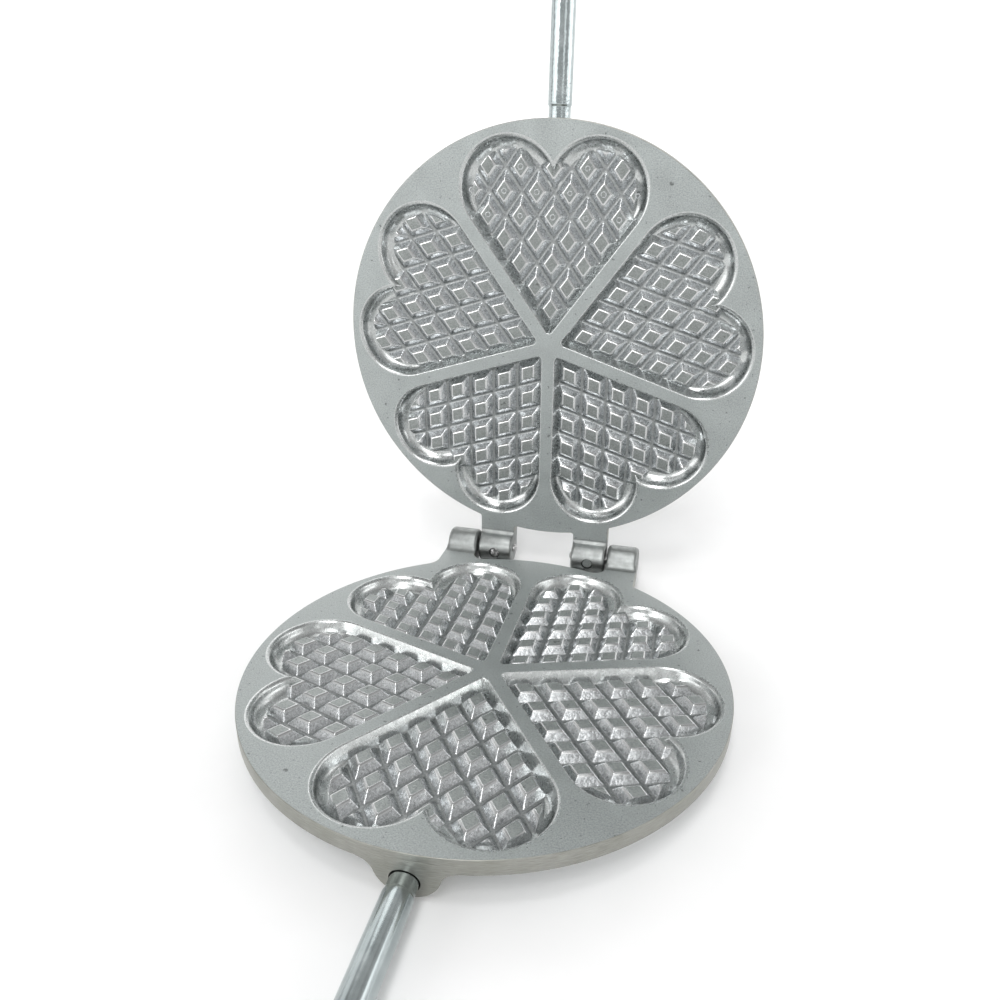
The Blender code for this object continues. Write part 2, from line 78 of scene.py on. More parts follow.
# Heart pockets
HEARTS = 5
HALF_SECTOR = pi / HEARTS
RIB_WIDTH = 6.4 * MM
LOBE_RADIUS = 22.6 * MM
LOBE_X = 20.57 * MM
LOBE_Y = 72.2 * MM
POCKET_DEPTH = 6.2 * MM
RIB_DRAFT = 2.3 * MM
RIB_TOP_ROUND = 0.5 * MM
RIB_FOOT_ROUND = 0.7 * MM
LOBE_DRAFT = 1.6 * MM
LOBE_TOP_ROUND = 2.0 * MM
LOBE_FOOT_ROUND = 5.0 * MM
LOBE_BLEND_START = 56.0 * MM
LOBE_BLEND_LENGTH = 22.0 * MM
TIP_ROUND = 2.0 * MM
TIP_LEAST = 0.2 * MM
TIP_STEPS = 5
LOBE_STEPS = 56
WALL_TOP_STEPS = 6
WALL_FOOT_STEPS = 5
UNDER_FLOOR = (POCKET_DEPTH + RIM_HEIGHT) / 2
CLEFT_ROUND_TOP = 0.8 * MM
CLEFT_ROUND_FOOT = 0.3 * MM

# Studs
STUD_PITCH = 13.2 * MM
FIRST_STUD = 18.0 * MM
STUD_HEIGHT = 3.5 * MM
STUD_ROOT = 0.8 * MM
STUD_TOP_SHARE = 0.47
STUD_BASE_SHARE = 0.905
STUD_FOOT_ROUND = 0.9 * MM
STUD_TOP_ROUND = 1.0 * MM
STUD_LEVELS = (0.0, 0.02, 0.06, 0.12, 0.2, 0.32, 0.55, 0.78, 0.85, 0.91, 0.955, 0.985, 1.0)
# Stud rings above this share take the edge material: worn smoother, and lighter as a painted highlight
EDGE_WEAR_AND_HIGHLIGHT_SHARE = 0.78
# Stud rings up to this share take the groove material, whose darker colour is painted shade
SHADED_GROOVE_SHARE = 0.06
STUD_CORNER_TOP = 0.5 * MM
STUD_CORNER_FOOT = 0.9 * MM
STUD_CUT_ROUND = 0.25 * MM
STUD_CUT_ANGLE = radians(24)
STUD_CUT_TOLERANCE = MM / 1000
STUD_ROWS = 8
STUD_REACH_SHARE = 0.45
FIELD_RADIUS = 17.9 * MM
FIELD_DRAFT = radians(10)
FIELD_START = radians(-30)
FIELD_END = radians(150)
FIELD_STEPS = 22
STUD_SHIFT = 0.16 * MM
STUD_SPREAD_SHARE = 0.035
CORNER_STEPS = 5
MARK_RADIUS = 1.15 * MM
MARK_WIRE = 0.24 * MM
MARK_RISE_SHARE = 0.6
MARK_SPREAD_SHARES = (0.75, 1.1)
MARK_STEPS = 20
MARK_FIRST_ROW = 4
MARK_CHANCE = 0.12
MARK_SETBACK = 4.0 * MM

# Hinge. FLARES are the necks' radii on the left, right and inner sides, and PIN_NOSE pairs a share of the
# pin's radius with a height
HINGE_Y = 115.0 * MM
HINGE_Z = 0.2 * MM
KNUCKLE_RADIUS = 8.3 * MM
KNUCKLE_ROUND = {"lower": 2.3 * MM, "upper": 1.6 * MM}
KNUCKLE_FILLET = {"lower": 4.5 * MM, "upper": 2.5 * MM}
KNUCKLE_INSET = 0.06 * MM
KNUCKLE_END_STEPS = 7
BARREL_STEPS = 44
HOLLOW_STEPS = 10
NECK_END = 105.0 * MM
NECK_UNDERSIDE = 7.6 * MM
NECK_START = 97.5 * MM
NECK_ROOT = 86.5 * MM
NECK_SINK = 0.03 * MM
NECK_RUN = 2.0 * MM
NECK_FRONT = 7.0 * MM
LUG_START = {"lower": 36.0 * MM, "upper": 16.5 * MM}
LUG_WIDTH = {"lower": 16.8 * MM, "upper": 18.6 * MM}
FLARES = {"lower": (9.0 * MM, 2.0 * MM, 5.5 * MM), "upper": (1.5 * MM, 1.5 * MM, 1.5 * MM)}
FLARE_STEPS = (10, 8)
PIN_RADIUS = 2.25 * MM
PIN_NUB = 1.5 * MM
PIN_BLIND_WALL = 2.5 * MM
PIN_CLEARANCE = 0.2 * MM
PIN_EASE = 0.4 * MM
PIN_NOSE = ((0.55, 0.08 * MM), (0.85, 0.4 * MM), (1, 1.0 * MM))
PIN_STEPS = 48
LOCK_HOLE_RADIUS = 3.0 * MM
LOCK_PIN_RADIUS = 2.7 * MM
LOCK_RECESS = 1.0 * MM
LOCK_LIFT = 0.3 * MM
LOCK_EASE = 0.35 * MM
LOCK_PEEN = (-0.35, 0.30)
LOCK_RING_SHARES = (0.7, 0.5, 0.3, 0.12)
LOCK_STEPS = 40
TOE_WIDTH = 7.0 * MM
TOE_HEIGHT = 2.8 * MM
TOE_DROP = 5.0 * MM
TOE_GAP = 0.4 * MM
TOE_INSET = 1.2 * MM
TOE_ROUND = 0.5 * MM
TOE_ROUND_ANGLE = radians(40)

# Handles
HANDLE_DEPTH = 13.0 * MM
HANDLE_TILT = radians(3.6)
HANDLE_SHIFT = {"lower": -0.6 * MM, "upper": 0.0}
HANDLE_LENGTH = 300.0 * MM
TUBE_RADIUS = 5.45 * MM
TUBE_WALL = 1.1 * MM
NECK_RADIUS = 5.05 * MM
NECK_EXPOSED = 3.8 * MM
NECK_SHOULDER = 1.2 * MM
SOCKET_DEPTH = 18.0 * MM
SOCKET_CLEARANCE = 0.4 * MM
SOCKET_OVERRUN = 3.0 * MM
SOCKET_RADIUS = NECK_RADIUS + SOCKET_CLEARANCE
BOSS_RADIUS = 11.8 * MM
BOSS_WALL = 1.9 * MM
BOSS_DEPTH = HANDLE_DEPTH + SOCKET_RADIUS + BOSS_WALL
BOSS_FILLET = 6.0 * MM
BOSS_LENGTH = 21.0 * MM
BOSS_RUNOUT = 11.0 * MM
BOSS_RAKE_SHARE = 0.12
BOSS_EDGE = 0.6 * MM
BOSS_EDGE_ANGLE = radians(50)
BOSS_TOP = 3.0 * MM
BOSS_LIP = 5.0 * MM
BOSS_SINK = 0.5 * MM
BOSS_PROUD = 0.01 * MM
BOSS_GAP = 0.1 * MM
BOSS_FLANK_STEPS = 14
BOSS_NOSE_STEPS = 24
TUBE_LIP = 0.25 * MM
TUBE_STEPS = 96
SHOULDER_STEPS = 8
BODY_STEPS = 6
CROSS_PIN_RADIUS = 1.5 * MM
CROSS_PIN_SETBACK = 10.0 * MM
CROSS_PIN_RECESS = 0.5 * MM
CROSS_PIN_EASE = 0.3 * MM
CROSS_PIN_STEPS = 32
PLUG_RADIUS = 6.1 * MM
PLUG_LENGTH = 6.0 * MM
PLUG_ROUND = 2.0 * MM
PLUG_ROUND_STEPS = 8
PLUG_STEM = 12.0 * MM
PLUG_GROOVE = 0.3 * MM
PLUG_WAIST_SHARE = 0.32
PLUG_STEPS = 64

# Edges sharper than these angles stay crisp in the shading
SHARP_BACK = radians(12)
SHARP_LOCK_PIN = radians(18)
SHARP_TURNED = radians(30)
SHARP_CAST = radians(32)
SHARP_STUD = radians(34)
SHARP_PIN = radians(40)

# Places in the part's frame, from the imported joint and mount
HINGE = Vector(JOINT["pos_m"])
OPEN_ANGLE = radians(JOINT["range_deg"][1])
HOB_NORMAL = Vector(MOUNTS["hob_face"]["axis"])
PITCH = atan2(-HOB_NORMAL.y, -HOB_NORMAL.z)
HINGE_FRAME = Matrix.Translation(HINGE) @ Matrix.Rotation(-PITCH, 4, "X")
LOWER = HINGE_FRAME @ Matrix.Translation((0, -HINGE_Y, -HINGE_Z))
OPENED = Matrix.Rotation(-OPEN_ANGLE, 4, "X")
TURNED = Matrix.Rotation(pi, 4, "Y")
UPPER = HINGE_FRAME @ OPENED @ Matrix.Translation((0, -HINGE_Y, HINGE_Z)) @ TURNED
FRAMES = {"lower": LOWER, "upper": UPPER}
BODIES = {"lower": "lower_half", "upper": "upper_half"}

# Stage, in metres
SWEEP_FRONT = 4.0
SWEEP_DEPTH = 3.5
SWEEP_BEND = 1.2
SWEEP_HEIGHT = 2.6
SWEEP_HALF_WIDTH = 6.0
SWEEP_STEPS = 32

# World grey over the sine of the elevation
WORLD_GREYS = ((0.0, 0.62), (0.30, 0.66), (0.60, 0.64), (0.80, 0.38), (1.0, 0.36))

# Soft round lamps: azimuth from the front, growing to the right, elevation and radius, all in degrees,
# and radiance
SOFT_LAMPS = (
    (16, 48, 13, 1.1),
    (-57, 33, 13, 0.25),
    (-100, 2, 13, 0.75),
    (-148, 12, 27, 0.25),
    (-38, 5, 14, 1.8),
    (-60, 4, 14, 1.5),
    (84, 4, 14, 1.8),
    (104, 4, 12, 1.8),
    (32, 9, 8, 1.1),
    (-124, 32, 11, 0.5),
    (-160, 38, 14, 1.5),
    (176, 38, 10, 0.5),
    (180, 62, 22, 0.2),
    (122, 25, 10, 1.7),
    (0, 84, 14, 0.9),
)

# Suns: name, azimuth, elevation and width in degrees, and strength
SUNS = (
    ("key_sun", -4, 62, 18, 0.5),
    ("front_sun", 2, 30, 18, 0.6),
    ("top_sun", -20, 82, 12, 0.25),
    ("left_sun", -32, 20, 14, 0.4),
)

# Camera, solved against both plates' circles, ribs, knuckles and tubes, in the lower plate's frame
EYE = Vector((74.71, -281.00, 202.20)) * MM
VIEW_AZIMUTH = radians(11.44)
VIEW_ELEVATION = radians(23.26)
VIEW_ROLL = radians(1.70)
FOCAL_LENGTH = 29.18
SENSOR_WIDTH = 36.0
SHIFT_X = -0.0347
SHIFT_Y = 0.0036
CLIP_START = 10.0 * MM


# Mesh helpers
def arc(centre, radius, start, end, steps):
    return [(centre[0] + radius * cos(start + (end - start) * i / steps),
             centre[1] + radius * sin(start + (end - start) * i / steps)) for i in range(steps + 1)]


def add_ring(shape, points):
    return [shape.verts.new(point) for point in points]


def add_band(shape, low, high, slot=0, closed=True):
    count = len(low)
    for i in range(count if closed else count - 1):
        j = (i + 1) % count
        face = shape.faces.new((low[i], low[j], high[j], high[i]))
        face.material_index = slot


def fill_between(shape, rings, slot):
    """Fill a flat face inside the first ring and outside the others."""
    edges = []
    for ring in rings:
        for i, vertex in enumerate(ring):
            edge = shape.edges.get((vertex, ring[(i + 1) % len(ring)]))
            edges.append(edge or shape.edges.new((vertex, ring[(i + 1) % len(ring)])))
    made = bmesh.ops.triangle_fill(shape, use_beauty=True, use_dissolve=False, edges=edges)
    for item in made["geom"]:
        if isinstance(item, bmesh.types.BMFace):
            item.material_index = slot
            item.smooth = False


def to_mesh(shape, name, smooth=True):
    bmesh.ops.recalc_face_normals(shape, faces=shape.faces)
    if smooth:
        for face in shape.faces:
            if len(face.verts) == 4:
                face.smooth = True
    mesh = bpy.data.meshes.new(name)
    shape.to_mesh(mesh)
    shape.free()
    return mesh


def add_object(name, mesh, slots=()):
    made = bpy.data.objects.new(name, mesh)
    bpy.context.scene.collection.objects.link(made)
    for slot in slots:
        mesh.materials.append(slot)
    return made


def baked(source):
    """Use up an object's modifiers and return its mesh, without the object."""
    bpy.context.view_layer.update()
    graph = bpy.context.evaluated_depsgraph_get()
    mesh = bpy.data.meshes.new_from_object(source.evaluated_get(graph))
    bpy.data.objects.remove(source, do_unlink=True)
    return mesh


def combined(mesh, tool_mesh, operation):
    body = add_object("cut_body", mesh)
    tool = add_object("cut_tool", tool_mesh)
    cut = body.modifiers.new("cut", "BOOLEAN")
    cut.operation = operation
    cut.solver = "EXACT"
    cut.object = tool
    result = baked(body)
    bpy.data.objects.remove(tool, do_unlink=True)
    return result


def bevelled(mesh, width, segments, angle):
    body = add_object("bevel_body", mesh)
    rounding = body.modifiers.new("round", "BEVEL")
    rounding.width = width
    rounding.segments = segments
    rounding.limit_method = "ANGLE"
    rounding.angle_limit = angle
    return baked(body)


def joined(meshes, name):
    shape = bmesh.new()
    for mesh in meshes:
        shape.from_mesh(mesh)
    mesh = bpy.data.meshes.new(name)
    shape.to_mesh(mesh)
    shape.free()
    return mesh


def smooth_by_angle(mesh, angle):
    mesh.shade_smooth()
    mesh.set_sharp_from_angle(angle=angle)


def turned_mesh(name, profile, steps, slots=None):
    """Solid of revolution about +Z from radius and height points; slots gives each band's material."""
    shape = bmesh.new()
    rings = []
    for radius, height in profile:
        if radius == 0:
            rings.append([shape.verts.new((0, 0, height))])
            continue
        rings.append(add_ring(shape, [(radius * cos(2 * pi * i / steps), radius * sin(2 * pi * i / steps),
                                       height) for i in range(steps)]))
    closed = profile[0][0] > 0
    for k in range(len(rings) if closed else len(rings) - 1):
        low, high = rings[k], rings[(k + 1) % len(rings)]
        slot = slots[k] if slots else 0
        if len(low) == 1 or len(high) == 1:
            centre, rim = (low[0], high) if len(low) == 1 else (high[0], low)
            for i in range(steps):
                face = shape.faces.new((centre, rim[i], rim[(i + 1) % steps]))
                face.material_index = slot
        else:
            add_band(shape, low, high, slot)
    return to_mesh(shape, name)


def rod_mesh(radius, start, aim, length, steps=PIN_STEPS):
    mesh = turned_mesh("rod", [(0, 0), (radius, 0), (radius, length), (0, length)], steps)
    turn = Vector(aim).to_track_quat("Z", "Y").to_matrix().to_4x4()
    mesh.transform(Matrix.Translation(start) @ turn)
    return mesh


def place(name, mesh, which, slots, replaced=(), within=Matrix.Identity(4)):
    """Put a mesh into the scene at its place in a plate's frame, riding on that half of the iron."""
    piece = add_object(name, mesh, slots)
    piece.matrix_world = FRAMES[which] @ within
    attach(piece, BODIES[which])
    if replaced:
        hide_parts(*replaced)
    return piece


# Materials
def new_material(name, colour, metallic, roughness):
    made = bpy.data.materials.new(name)
    made.use_nodes = True
    shader = made.node_tree.nodes["Principled BSDF"]
    shader.inputs["Base Color"].default_value = (*colour, 1)
    shader.inputs["Metallic"].default_value = metallic
    shader.inputs["Roughness"].default_value = roughness
    return made, made.node_tree, shader


def add_node(tree, kind, **inputs):
    made = tree.nodes.new(kind)
    for key, value in inputs.items():
        made.inputs[key.replace("_", " ")].default_value = value
    return made


def noise(tree, vector, scale, detail, rough):
    made = add_node(tree, "ShaderNodeTexNoise", Scale=scale, Detail=detail, Roughness=rough)
    tree.links.new(vector, made.inputs["Vector"])
    return made.outputs["Fac"]


def ramp(tree, value, *stops):
    made = tree.nodes.new("ShaderNodeValToRGB")
    band = made.color_ramp
    while len(band.elements) < len(stops):
        band.elements.new(0.5)
    for element, (position, colour) in zip(band.elements, stops):
        element.position = position
        shade = colour if isinstance(colour, tuple) else (colour,) * 3
        element.color = (*shade, 1)
    tree.links.new(value, made.inputs["Fac"])
    return made.outputs["Color"]


def maths(tree, operation, first, second=0.0):
    made = tree.nodes.new("ShaderNodeMath")
    made.operation = operation
    for socket, value in zip(made.inputs, (first, second)):
        if isinstance(value, (int, float)):
            socket.default_value = value
        else:
            tree.links.new(value, socket)
    return made.outputs["Value"]


def multiply(tree, first, second):
    made = tree.nodes.new("ShaderNodeMix")
    made.data_type = "RGBA"
    made.blend_type = "MULTIPLY"
    made.inputs["Factor"].default_value = 1.0
    tree.links.new(first, made.inputs["A"])
    tree.links.new(second, made.inputs["B"])
    return made.outputs["Result"]


def bump(tree, height, distance, strength, after=None):
    made = add_node(tree, "ShaderNodeBump", Distance=distance, Strength=strength)
    tree.links.new(height, made.inputs["Height"])
    if after:
        tree.links.new(after, made.inputs["Normal"])
    return made.outputs["Normal"]


def object_place(tree):
    return tree.nodes.new("ShaderNodeTexCoord").outputs["Object"]


def cast_face_material(name, dark, light):
    """Turned and blasted cast face: fine grey grain, soft mottling and scattered pits."""
    made, tree, shader = new_material(name, light, metallic=0.68, roughness=0.5)
    where = object_place(tree)
    grain = noise(tree, where, scale=1700, detail=3, rough=0.7)
    mottle = noise(tree, where, scale=60, detail=5, rough=0.6)
    pits = noise(tree, where, scale=420, detail=2, rough=0.5)
    tone = ramp(tree, grain, (0.36, dark), (0.64, light))
    cloud = ramp(tree, mottle, (0.3, 0.86), (0.7, 1.0))
    spots = ramp(tree, pits, (0.27, 0.45), (0.33, 1.0))
    tree.links.new(multiply(tree, multiply(tree, tone, cloud), spots), shader.inputs["Base Color"])
    rough = ramp(tree, mottle, (0.3, 0.36), (0.7, 0.50))
    tree.links.new(rough, shader.inputs["Roughness"])
    first = bump(tree, grain, 0.05 * MM, strength=0.8)
    tree.links.new(bump(tree, pits, 0.10 * MM, strength=0.35, after=first), shader.inputs["Normal"])
    return made


def cast_smooth_material(name, dark, light, wave_depth, grain_depth):
    """Smooth die-cast skin: soft reflections, a little crumpled by the mould."""
    made, tree, shader = new_material(name, light, metallic=1.0, roughness=0.27)
    where = object_place(tree)
    wave = noise(tree, where, scale=430, detail=2, rough=0.5)
    grain = noise(tree, where, scale=1300, detail=4, rough=0.7)
    tree.links.new(ramp(tree, grain, (0.36, dark), (0.64, light)), shader.inputs["Base Color"])
    tree.links.new(ramp(tree, wave, (0.3, 0.20), (0.7, 0.34)), shader.inputs["Roughness"])
    first = bump(tree, wave, wave_depth, strength=0.6)
    tree.links.new(bump(tree, grain, grain_depth, strength=0.7, after=first), shader.inputs["Normal"])
    return made


def groove_shade_material():
    """Pocket floor and stud feet: duller, and darker as painted shade in the hollows between the studs."""
    made, tree, shader = new_material("cast_aluminium_groove_painted_shade", (0.26, 0.27, 0.27), metallic=1.0,
                                      roughness=0.42)
    where = object_place(tree)
    grain = noise(tree, where, scale=1300, detail=4, rough=0.7)
    tree.links.new(ramp(tree, grain, (0.36, (0.21, 0.22, 0.22)), (0.64, (0.36, 0.375, 0.375))),
                   shader.inputs["Base Color"])
    tree.links.new(bump(tree, grain, 0.06 * MM, strength=0.6), shader.inputs["Normal"])
    return made


def edge_wear_and_highlight_material():
    """Edges worn smooth by the batter scraper, in a lighter colour that is a painted highlight along them.
    """
    made, tree, shader = new_material("cast_aluminium_edge_wear_and_painted_highlight", (0.58, 0.59, 0.59), metallic=1.0,
                                      roughness=0.18)
    where = object_place(tree)
    grain = noise(tree, where, scale=900, detail=3, rough=0.6)
    tree.links.new(ramp(tree, grain, (0.35, 0.12), (0.65, 0.26)), shader.inputs["Roughness"])
    tree.links.new(bump(tree, grain, 0.05 * MM, strength=0.5), shader.inputs["Normal"])
    return made


def rim_material():
    """Rim ground on a lathe: warm grey, with fine streaks round it."""
    made, tree, shader = new_material("turned_rim", (0.44, 0.44, 0.41), metallic=1.0, roughness=0.4)
    parts = tree.nodes.new("ShaderNodeSeparateXYZ")
    tree.links.new(object_place(tree), parts.inputs["Vector"])
    turn = maths(tree, "ARCTAN2", parts.outputs["X"], parts.outputs["Y"])
    around = maths(tree, "MULTIPLY", turn, PLATE_RADIUS * RIM_STREAK_SHARE)
    streak_place = tree.nodes.new("ShaderNodeCombineXYZ")
    tree.links.new(around, streak_place.inputs["X"])
    tree.links.new(parts.outputs["Z"], streak_place.inputs["Y"])
    streaks = noise(tree, streak_place.outputs["Vector"], scale=3600, detail=4, rough=0.65)
    blotch = noise(tree, object_place(tree), scale=90, detail=4, rough=0.6)
    light = ramp(tree, streaks, (0.32, (0.27, 0.27, 0.25)), (0.68, (0.44, 0.44, 0.41)))
    tone = ramp(tree, blotch, (0.3, (0.86, 0.87, 0.84)), (0.7, (1.0, 1.0, 1.0)))
    tree.links.new(multiply(tree, light, tone), shader.inputs["Base Color"])
    tree.links.new(ramp(tree, streaks, (0.3, 0.34), (0.7, 0.52)), shader.inputs["Roughness"])
    tree.links.new(bump(tree, streaks, 0.025 * MM, strength=0.5), shader.inputs["Normal"])
    return made


def knuckle_material():
    """Rounded cast knuckles: uneven skin with brighter rubbed patches."""
    made, tree, shader = new_material("cast_knuckle", (0.38, 0.39, 0.385), metallic=1.0, roughness=0.44)
    where = object_place(tree)
    lumps = noise(tree, where, scale=260, detail=4, rough=0.6)
    grain = noise(tree, where, scale=1700, detail=3, rough=0.7)
    light = ramp(tree, lumps, (0.3, (0.24, 0.25, 0.245)), (0.7, (0.32, 0.335, 0.33)))
    tree.links.new(light, shader.inputs["Base Color"])
    tree.links.new(ramp(tree, lumps, (0.3, 0.46), (0.7, 0.36)), shader.inputs["Roughness"])
    first = bump(tree, lumps, 0.14 * MM, strength=0.5)
    tree.links.new(bump(tree, grain, 0.04 * MM, strength=0.5, after=first), shader.inputs["Normal"])
    return made


def zinc_material(name, peel_scale, peel_depth):
    """Bright zinc plate over drawn tube: mirror-like, with orange peel and a few dull spots."""
    made, tree, shader = new_material(name, (0.40, 0.45, 0.46), metallic=1.0, roughness=0.18)
    where = object_place(tree)
    peel = noise(tree, where, scale=peel_scale, detail=2, rough=0.5)
    dull = noise(tree, where, scale=120, detail=3, rough=0.6)
    tree.links.new(ramp(tree, dull, (0.35, (0.37, 0.415, 0.42)), (0.65, (0.44, 0.485, 0.49))),
                   shader.inputs["Base Color"])
    tree.links.new(ramp(tree, dull, (0.3, 0.13), (0.7, 0.23)), shader.inputs["Roughness"])
    tree.links.new(bump(tree, peel, peel_depth, strength=0.8), shader.inputs["Normal"])
    return made


def steel_material():
    made, tree, shader = new_material("pin_steel", (0.5, 0.5, 0.5), metallic=1.0, roughness=0.3)
    where = object_place(tree)
    grain = noise(tree, where, scale=1400, detail=4, rough=0.7)
    tree.links.new(ramp(tree, grain, (0.3, 0.35), (0.7, 0.62)), shader.inputs["Base Color"])
    tree.links.new(ramp(tree, grain, (0.3, 0.24), (0.7, 0.42)), shader.inputs["Roughness"])
    tree.links.new(bump(tree, grain, 0.12 * MM, strength=0.6), shader.inputs["Normal"])
    return made


def plug_material():
    made, tree, shader = new_material("plug_plastic", (0.03, 0.03, 0.03), metallic=0.0, roughness=0.45)
    where = object_place(tree)
    grain = noise(tree, where, scale=2500, detail=3, rough=0.6)
    tree.links.new(ramp(tree, grain, (0.3, 0.022), (0.7, 0.036)), shader.inputs["Base Color"])
    tree.links.new(ramp(tree, grain, (0.3, 0.38), (0.7, 0.55)), shader.inputs["Roughness"])
    tree.links.new(bump(tree, grain, 0.03 * MM, strength=0.4), shader.inputs["Normal"])
    return made


CAST = cast_face_material("cast_aluminium_face", (0.30, 0.325, 0.32), (0.46, 0.49, 0.485))
# Stud tops of both plates; the upper plate's copy is darker as painted shade
STUD_TOP_AND_SHADED_COPY = {
    "lower": cast_face_material("cast_aluminium_stud_top", (0.26, 0.28, 0.275), (0.40, 0.425, 0.415)),
    # Darker copy of the same stud top for the upper plate: painted shade
    "upper": cast_face_material("cast_aluminium_stud_top_painted_shade", (0.20, 0.215, 0.21), (0.325, 0.345, 0.335)),
}
SMOOTH = cast_smooth_material("cast_aluminium_stud", (0.36, 0.375, 0.38), (0.66, 0.68, 0.69),
                              0.45 * MM, 0.05 * MM)
WALL = cast_smooth_material("cast_aluminium_wall", (0.44, 0.455, 0.45), (0.58, 0.60, 0.595),
                            0.035 * MM, 0.007 * MM)
# Edge colour is lighter than the stud skin as a painted highlight on the worn edges
EDGE_WEAR_AND_HIGHLIGHT = edge_wear_and_highlight_material()
RIM = rim_material()
KNUCKLE = knuckle_material()
ZINC = {"lower": zinc_material("zinc_plate", 700, 0.013 * MM),
        "upper": zinc_material("zinc_plate_rough", 620, 0.15 * MM)}
STEEL = steel_material()
PLASTIC = plug_material()
# Groove colour is painted shade for the hollows between the studs
SHADED_GROOVE = groove_shade_material()
FACE_SLOT, SMOOTH_SLOT, EDGE_WEAR_AND_HIGHLIGHT_SLOT, RIM_SLOT, KNUCKLE_SLOT, SHADED_GROOVE_SLOT, WALL_SLOT, CUT_SLOT = range(8)
CASTING_SLOTS = (CAST, SMOOTH, EDGE_WEAR_AND_HIGHLIGHT, RIM, KNUCKLE, SHADED_GROOVE, WALL)


# Heart pockets
def heart_ring(inset, depth, cleft_round):
    """One level of a pocket, tip at the plate's centre and lobes along +Y."""
    tip_y = (RIB_WIDTH / 2 + TIP_ROUND) / sin(HALF_SECTOR)
    tip = arc((0, tip_y), max(TIP_ROUND - inset, TIP_LEAST), -pi / 2, -HALF_SECTOR, TIP_STEPS)
    radius = LOBE_RADIUS - inset
    cleft_y = LOBE_Y + sqrt((radius + cleft_round) ** 2 - LOBE_X ** 2)
    toward = atan2(LOBE_Y - cleft_y, LOBE_X)
    lobe = arc((LOBE_X, LOBE_Y), radius, -HALF_SECTOR, toward + pi, LOBE_STEPS)
    cleft = arc((0, cleft_y), cleft_round, toward, -pi / 2, TIP_STEPS)
    right = tip + lobe + cleft[1:]
    left = [(-x, y) for x, y in reversed(right[1:-1])]
    return [(x, y, -depth) for x, y in right + left]


def pocket_levels(draft, top, foot):
    """Rings of a pocket's wall, from the face down to the floor, all with one draft and its roundings."""
    slope = atan2(draft, POCKET_DEPTH)
    turn = pi / 2 - slope
    top_reach = top * sin(turn / 2) / cos(turn / 2)
    foot_reach = foot * sin(turn / 2) / cos(turn / 2)
    levels = [(-top_reach - FACE_MARGIN, 0)]
    for i in range(WALL_TOP_STEPS + 1):
        a = turn * i / WALL_TOP_STEPS
        levels.append((-top_reach + top * sin(a), top * (1 - cos(a))))
    for i in range(WALL_FOOT_STEPS + 1):
        a = turn * (1 - i / WALL_FOOT_STEPS)
        levels.append((draft + foot_reach - foot * sin(a), POCKET_DEPTH - foot * (1 - cos(a))))
    rings = []
    for inset, depth in levels:
        share = depth / POCKET_DEPTH
        sharp = CLEFT_ROUND_TOP + (CLEFT_ROUND_FOOT - CLEFT_ROUND_TOP) * share
        rings.append(heart_ring(inset, depth, max(sharp + inset - draft * share, CLEFT_ROUND_FOOT)))
    return rings


def add_pocket(shape, index):
    """Loft one pocket's wall, crisp along the ribs and soft round the lobes, and close its floor."""
    turn = Matrix.Rotation(pi + 2 * HALF_SECTOR * index, 4, "Z")
    rings = []
    for rib, lobe in zip(pocket_levels(RIB_DRAFT, RIB_TOP_ROUND, RIB_FOOT_ROUND),
                         pocket_levels(LOBE_DRAFT, LOBE_TOP_ROUND, LOBE_FOOT_ROUND)):
        points = []
        for near, far in zip(rib, lobe):
            blend = min(max((near[1] - LOBE_BLEND_START) / LOBE_BLEND_LENGTH, 0), 1)
            points.append(turn @ Vector(near).lerp(Vector(far), blend))
        rings.append(add_ring(shape, points))
    add_band(shape, rings[0], rings[1], FACE_SLOT)
    for low, high in zip(rings[1:], rings[2:]):
        add_band(shape, low, high, WALL_SLOT)
    # The pocket floor takes the groove's painted shade
    fill_between(shape, [rings[-1]], SHADED_GROOVE_SLOT)
    return rings[0]


# Plate outline with its hinge necks
def side_outline(inset, start, width, flare_out, flare_in):
    """Right half of the outline from -Y round to +Y, with one neck and its two concave flares."""
    radius = PLATE_RADIUS - inset
    outer = start + width
    out_y = sqrt((PLATE_RADIUS + flare_out) ** 2 - (outer + flare_out) ** 2)
    in_y = sqrt((PLATE_RADIUS + flare_in) ** 2 - (start - flare_in) ** 2)
    out_angle = atan2(out_y, outer + flare_out)
    in_angle = atan2(in_y, start - flare_in)
    outer_steps, inner_steps = FLARE_STEPS
    points = arc((0, 0), radius, -pi / 2, out_angle, FRONT_STEPS)
    points += arc((outer + flare_out, out_y), flare_out + inset, out_angle + pi, pi, outer_steps)[1:]
    points += [(outer - inset, NECK_END - inset), (start + inset, NECK_END - inset)]
    points += arc((start - flare_in, in_y), flare_in + inset, 0, in_angle - pi, inner_steps)
    points += arc((0, 0), radius, in_angle, pi / 2, REAR_STEPS)[1:]
    return points


def plate_outline(which, inset, height):
    """Whole outline at one height; the flares are the radii left, right and on the inner sides."""
    left_flare, right_flare, inner_flare = FLARES[which]
    right = side_outline(inset, LUG_START[which], LUG_WIDTH[which], right_flare, inner_flare)
    left = side_outline(inset, LUG_START[which], LUG_WIDTH[which], left_flare, inner_flare)
    points = right + [(-x, y) for x, y in reversed(left)][1:-1]
    return [(x, y, height) for x, y in points]


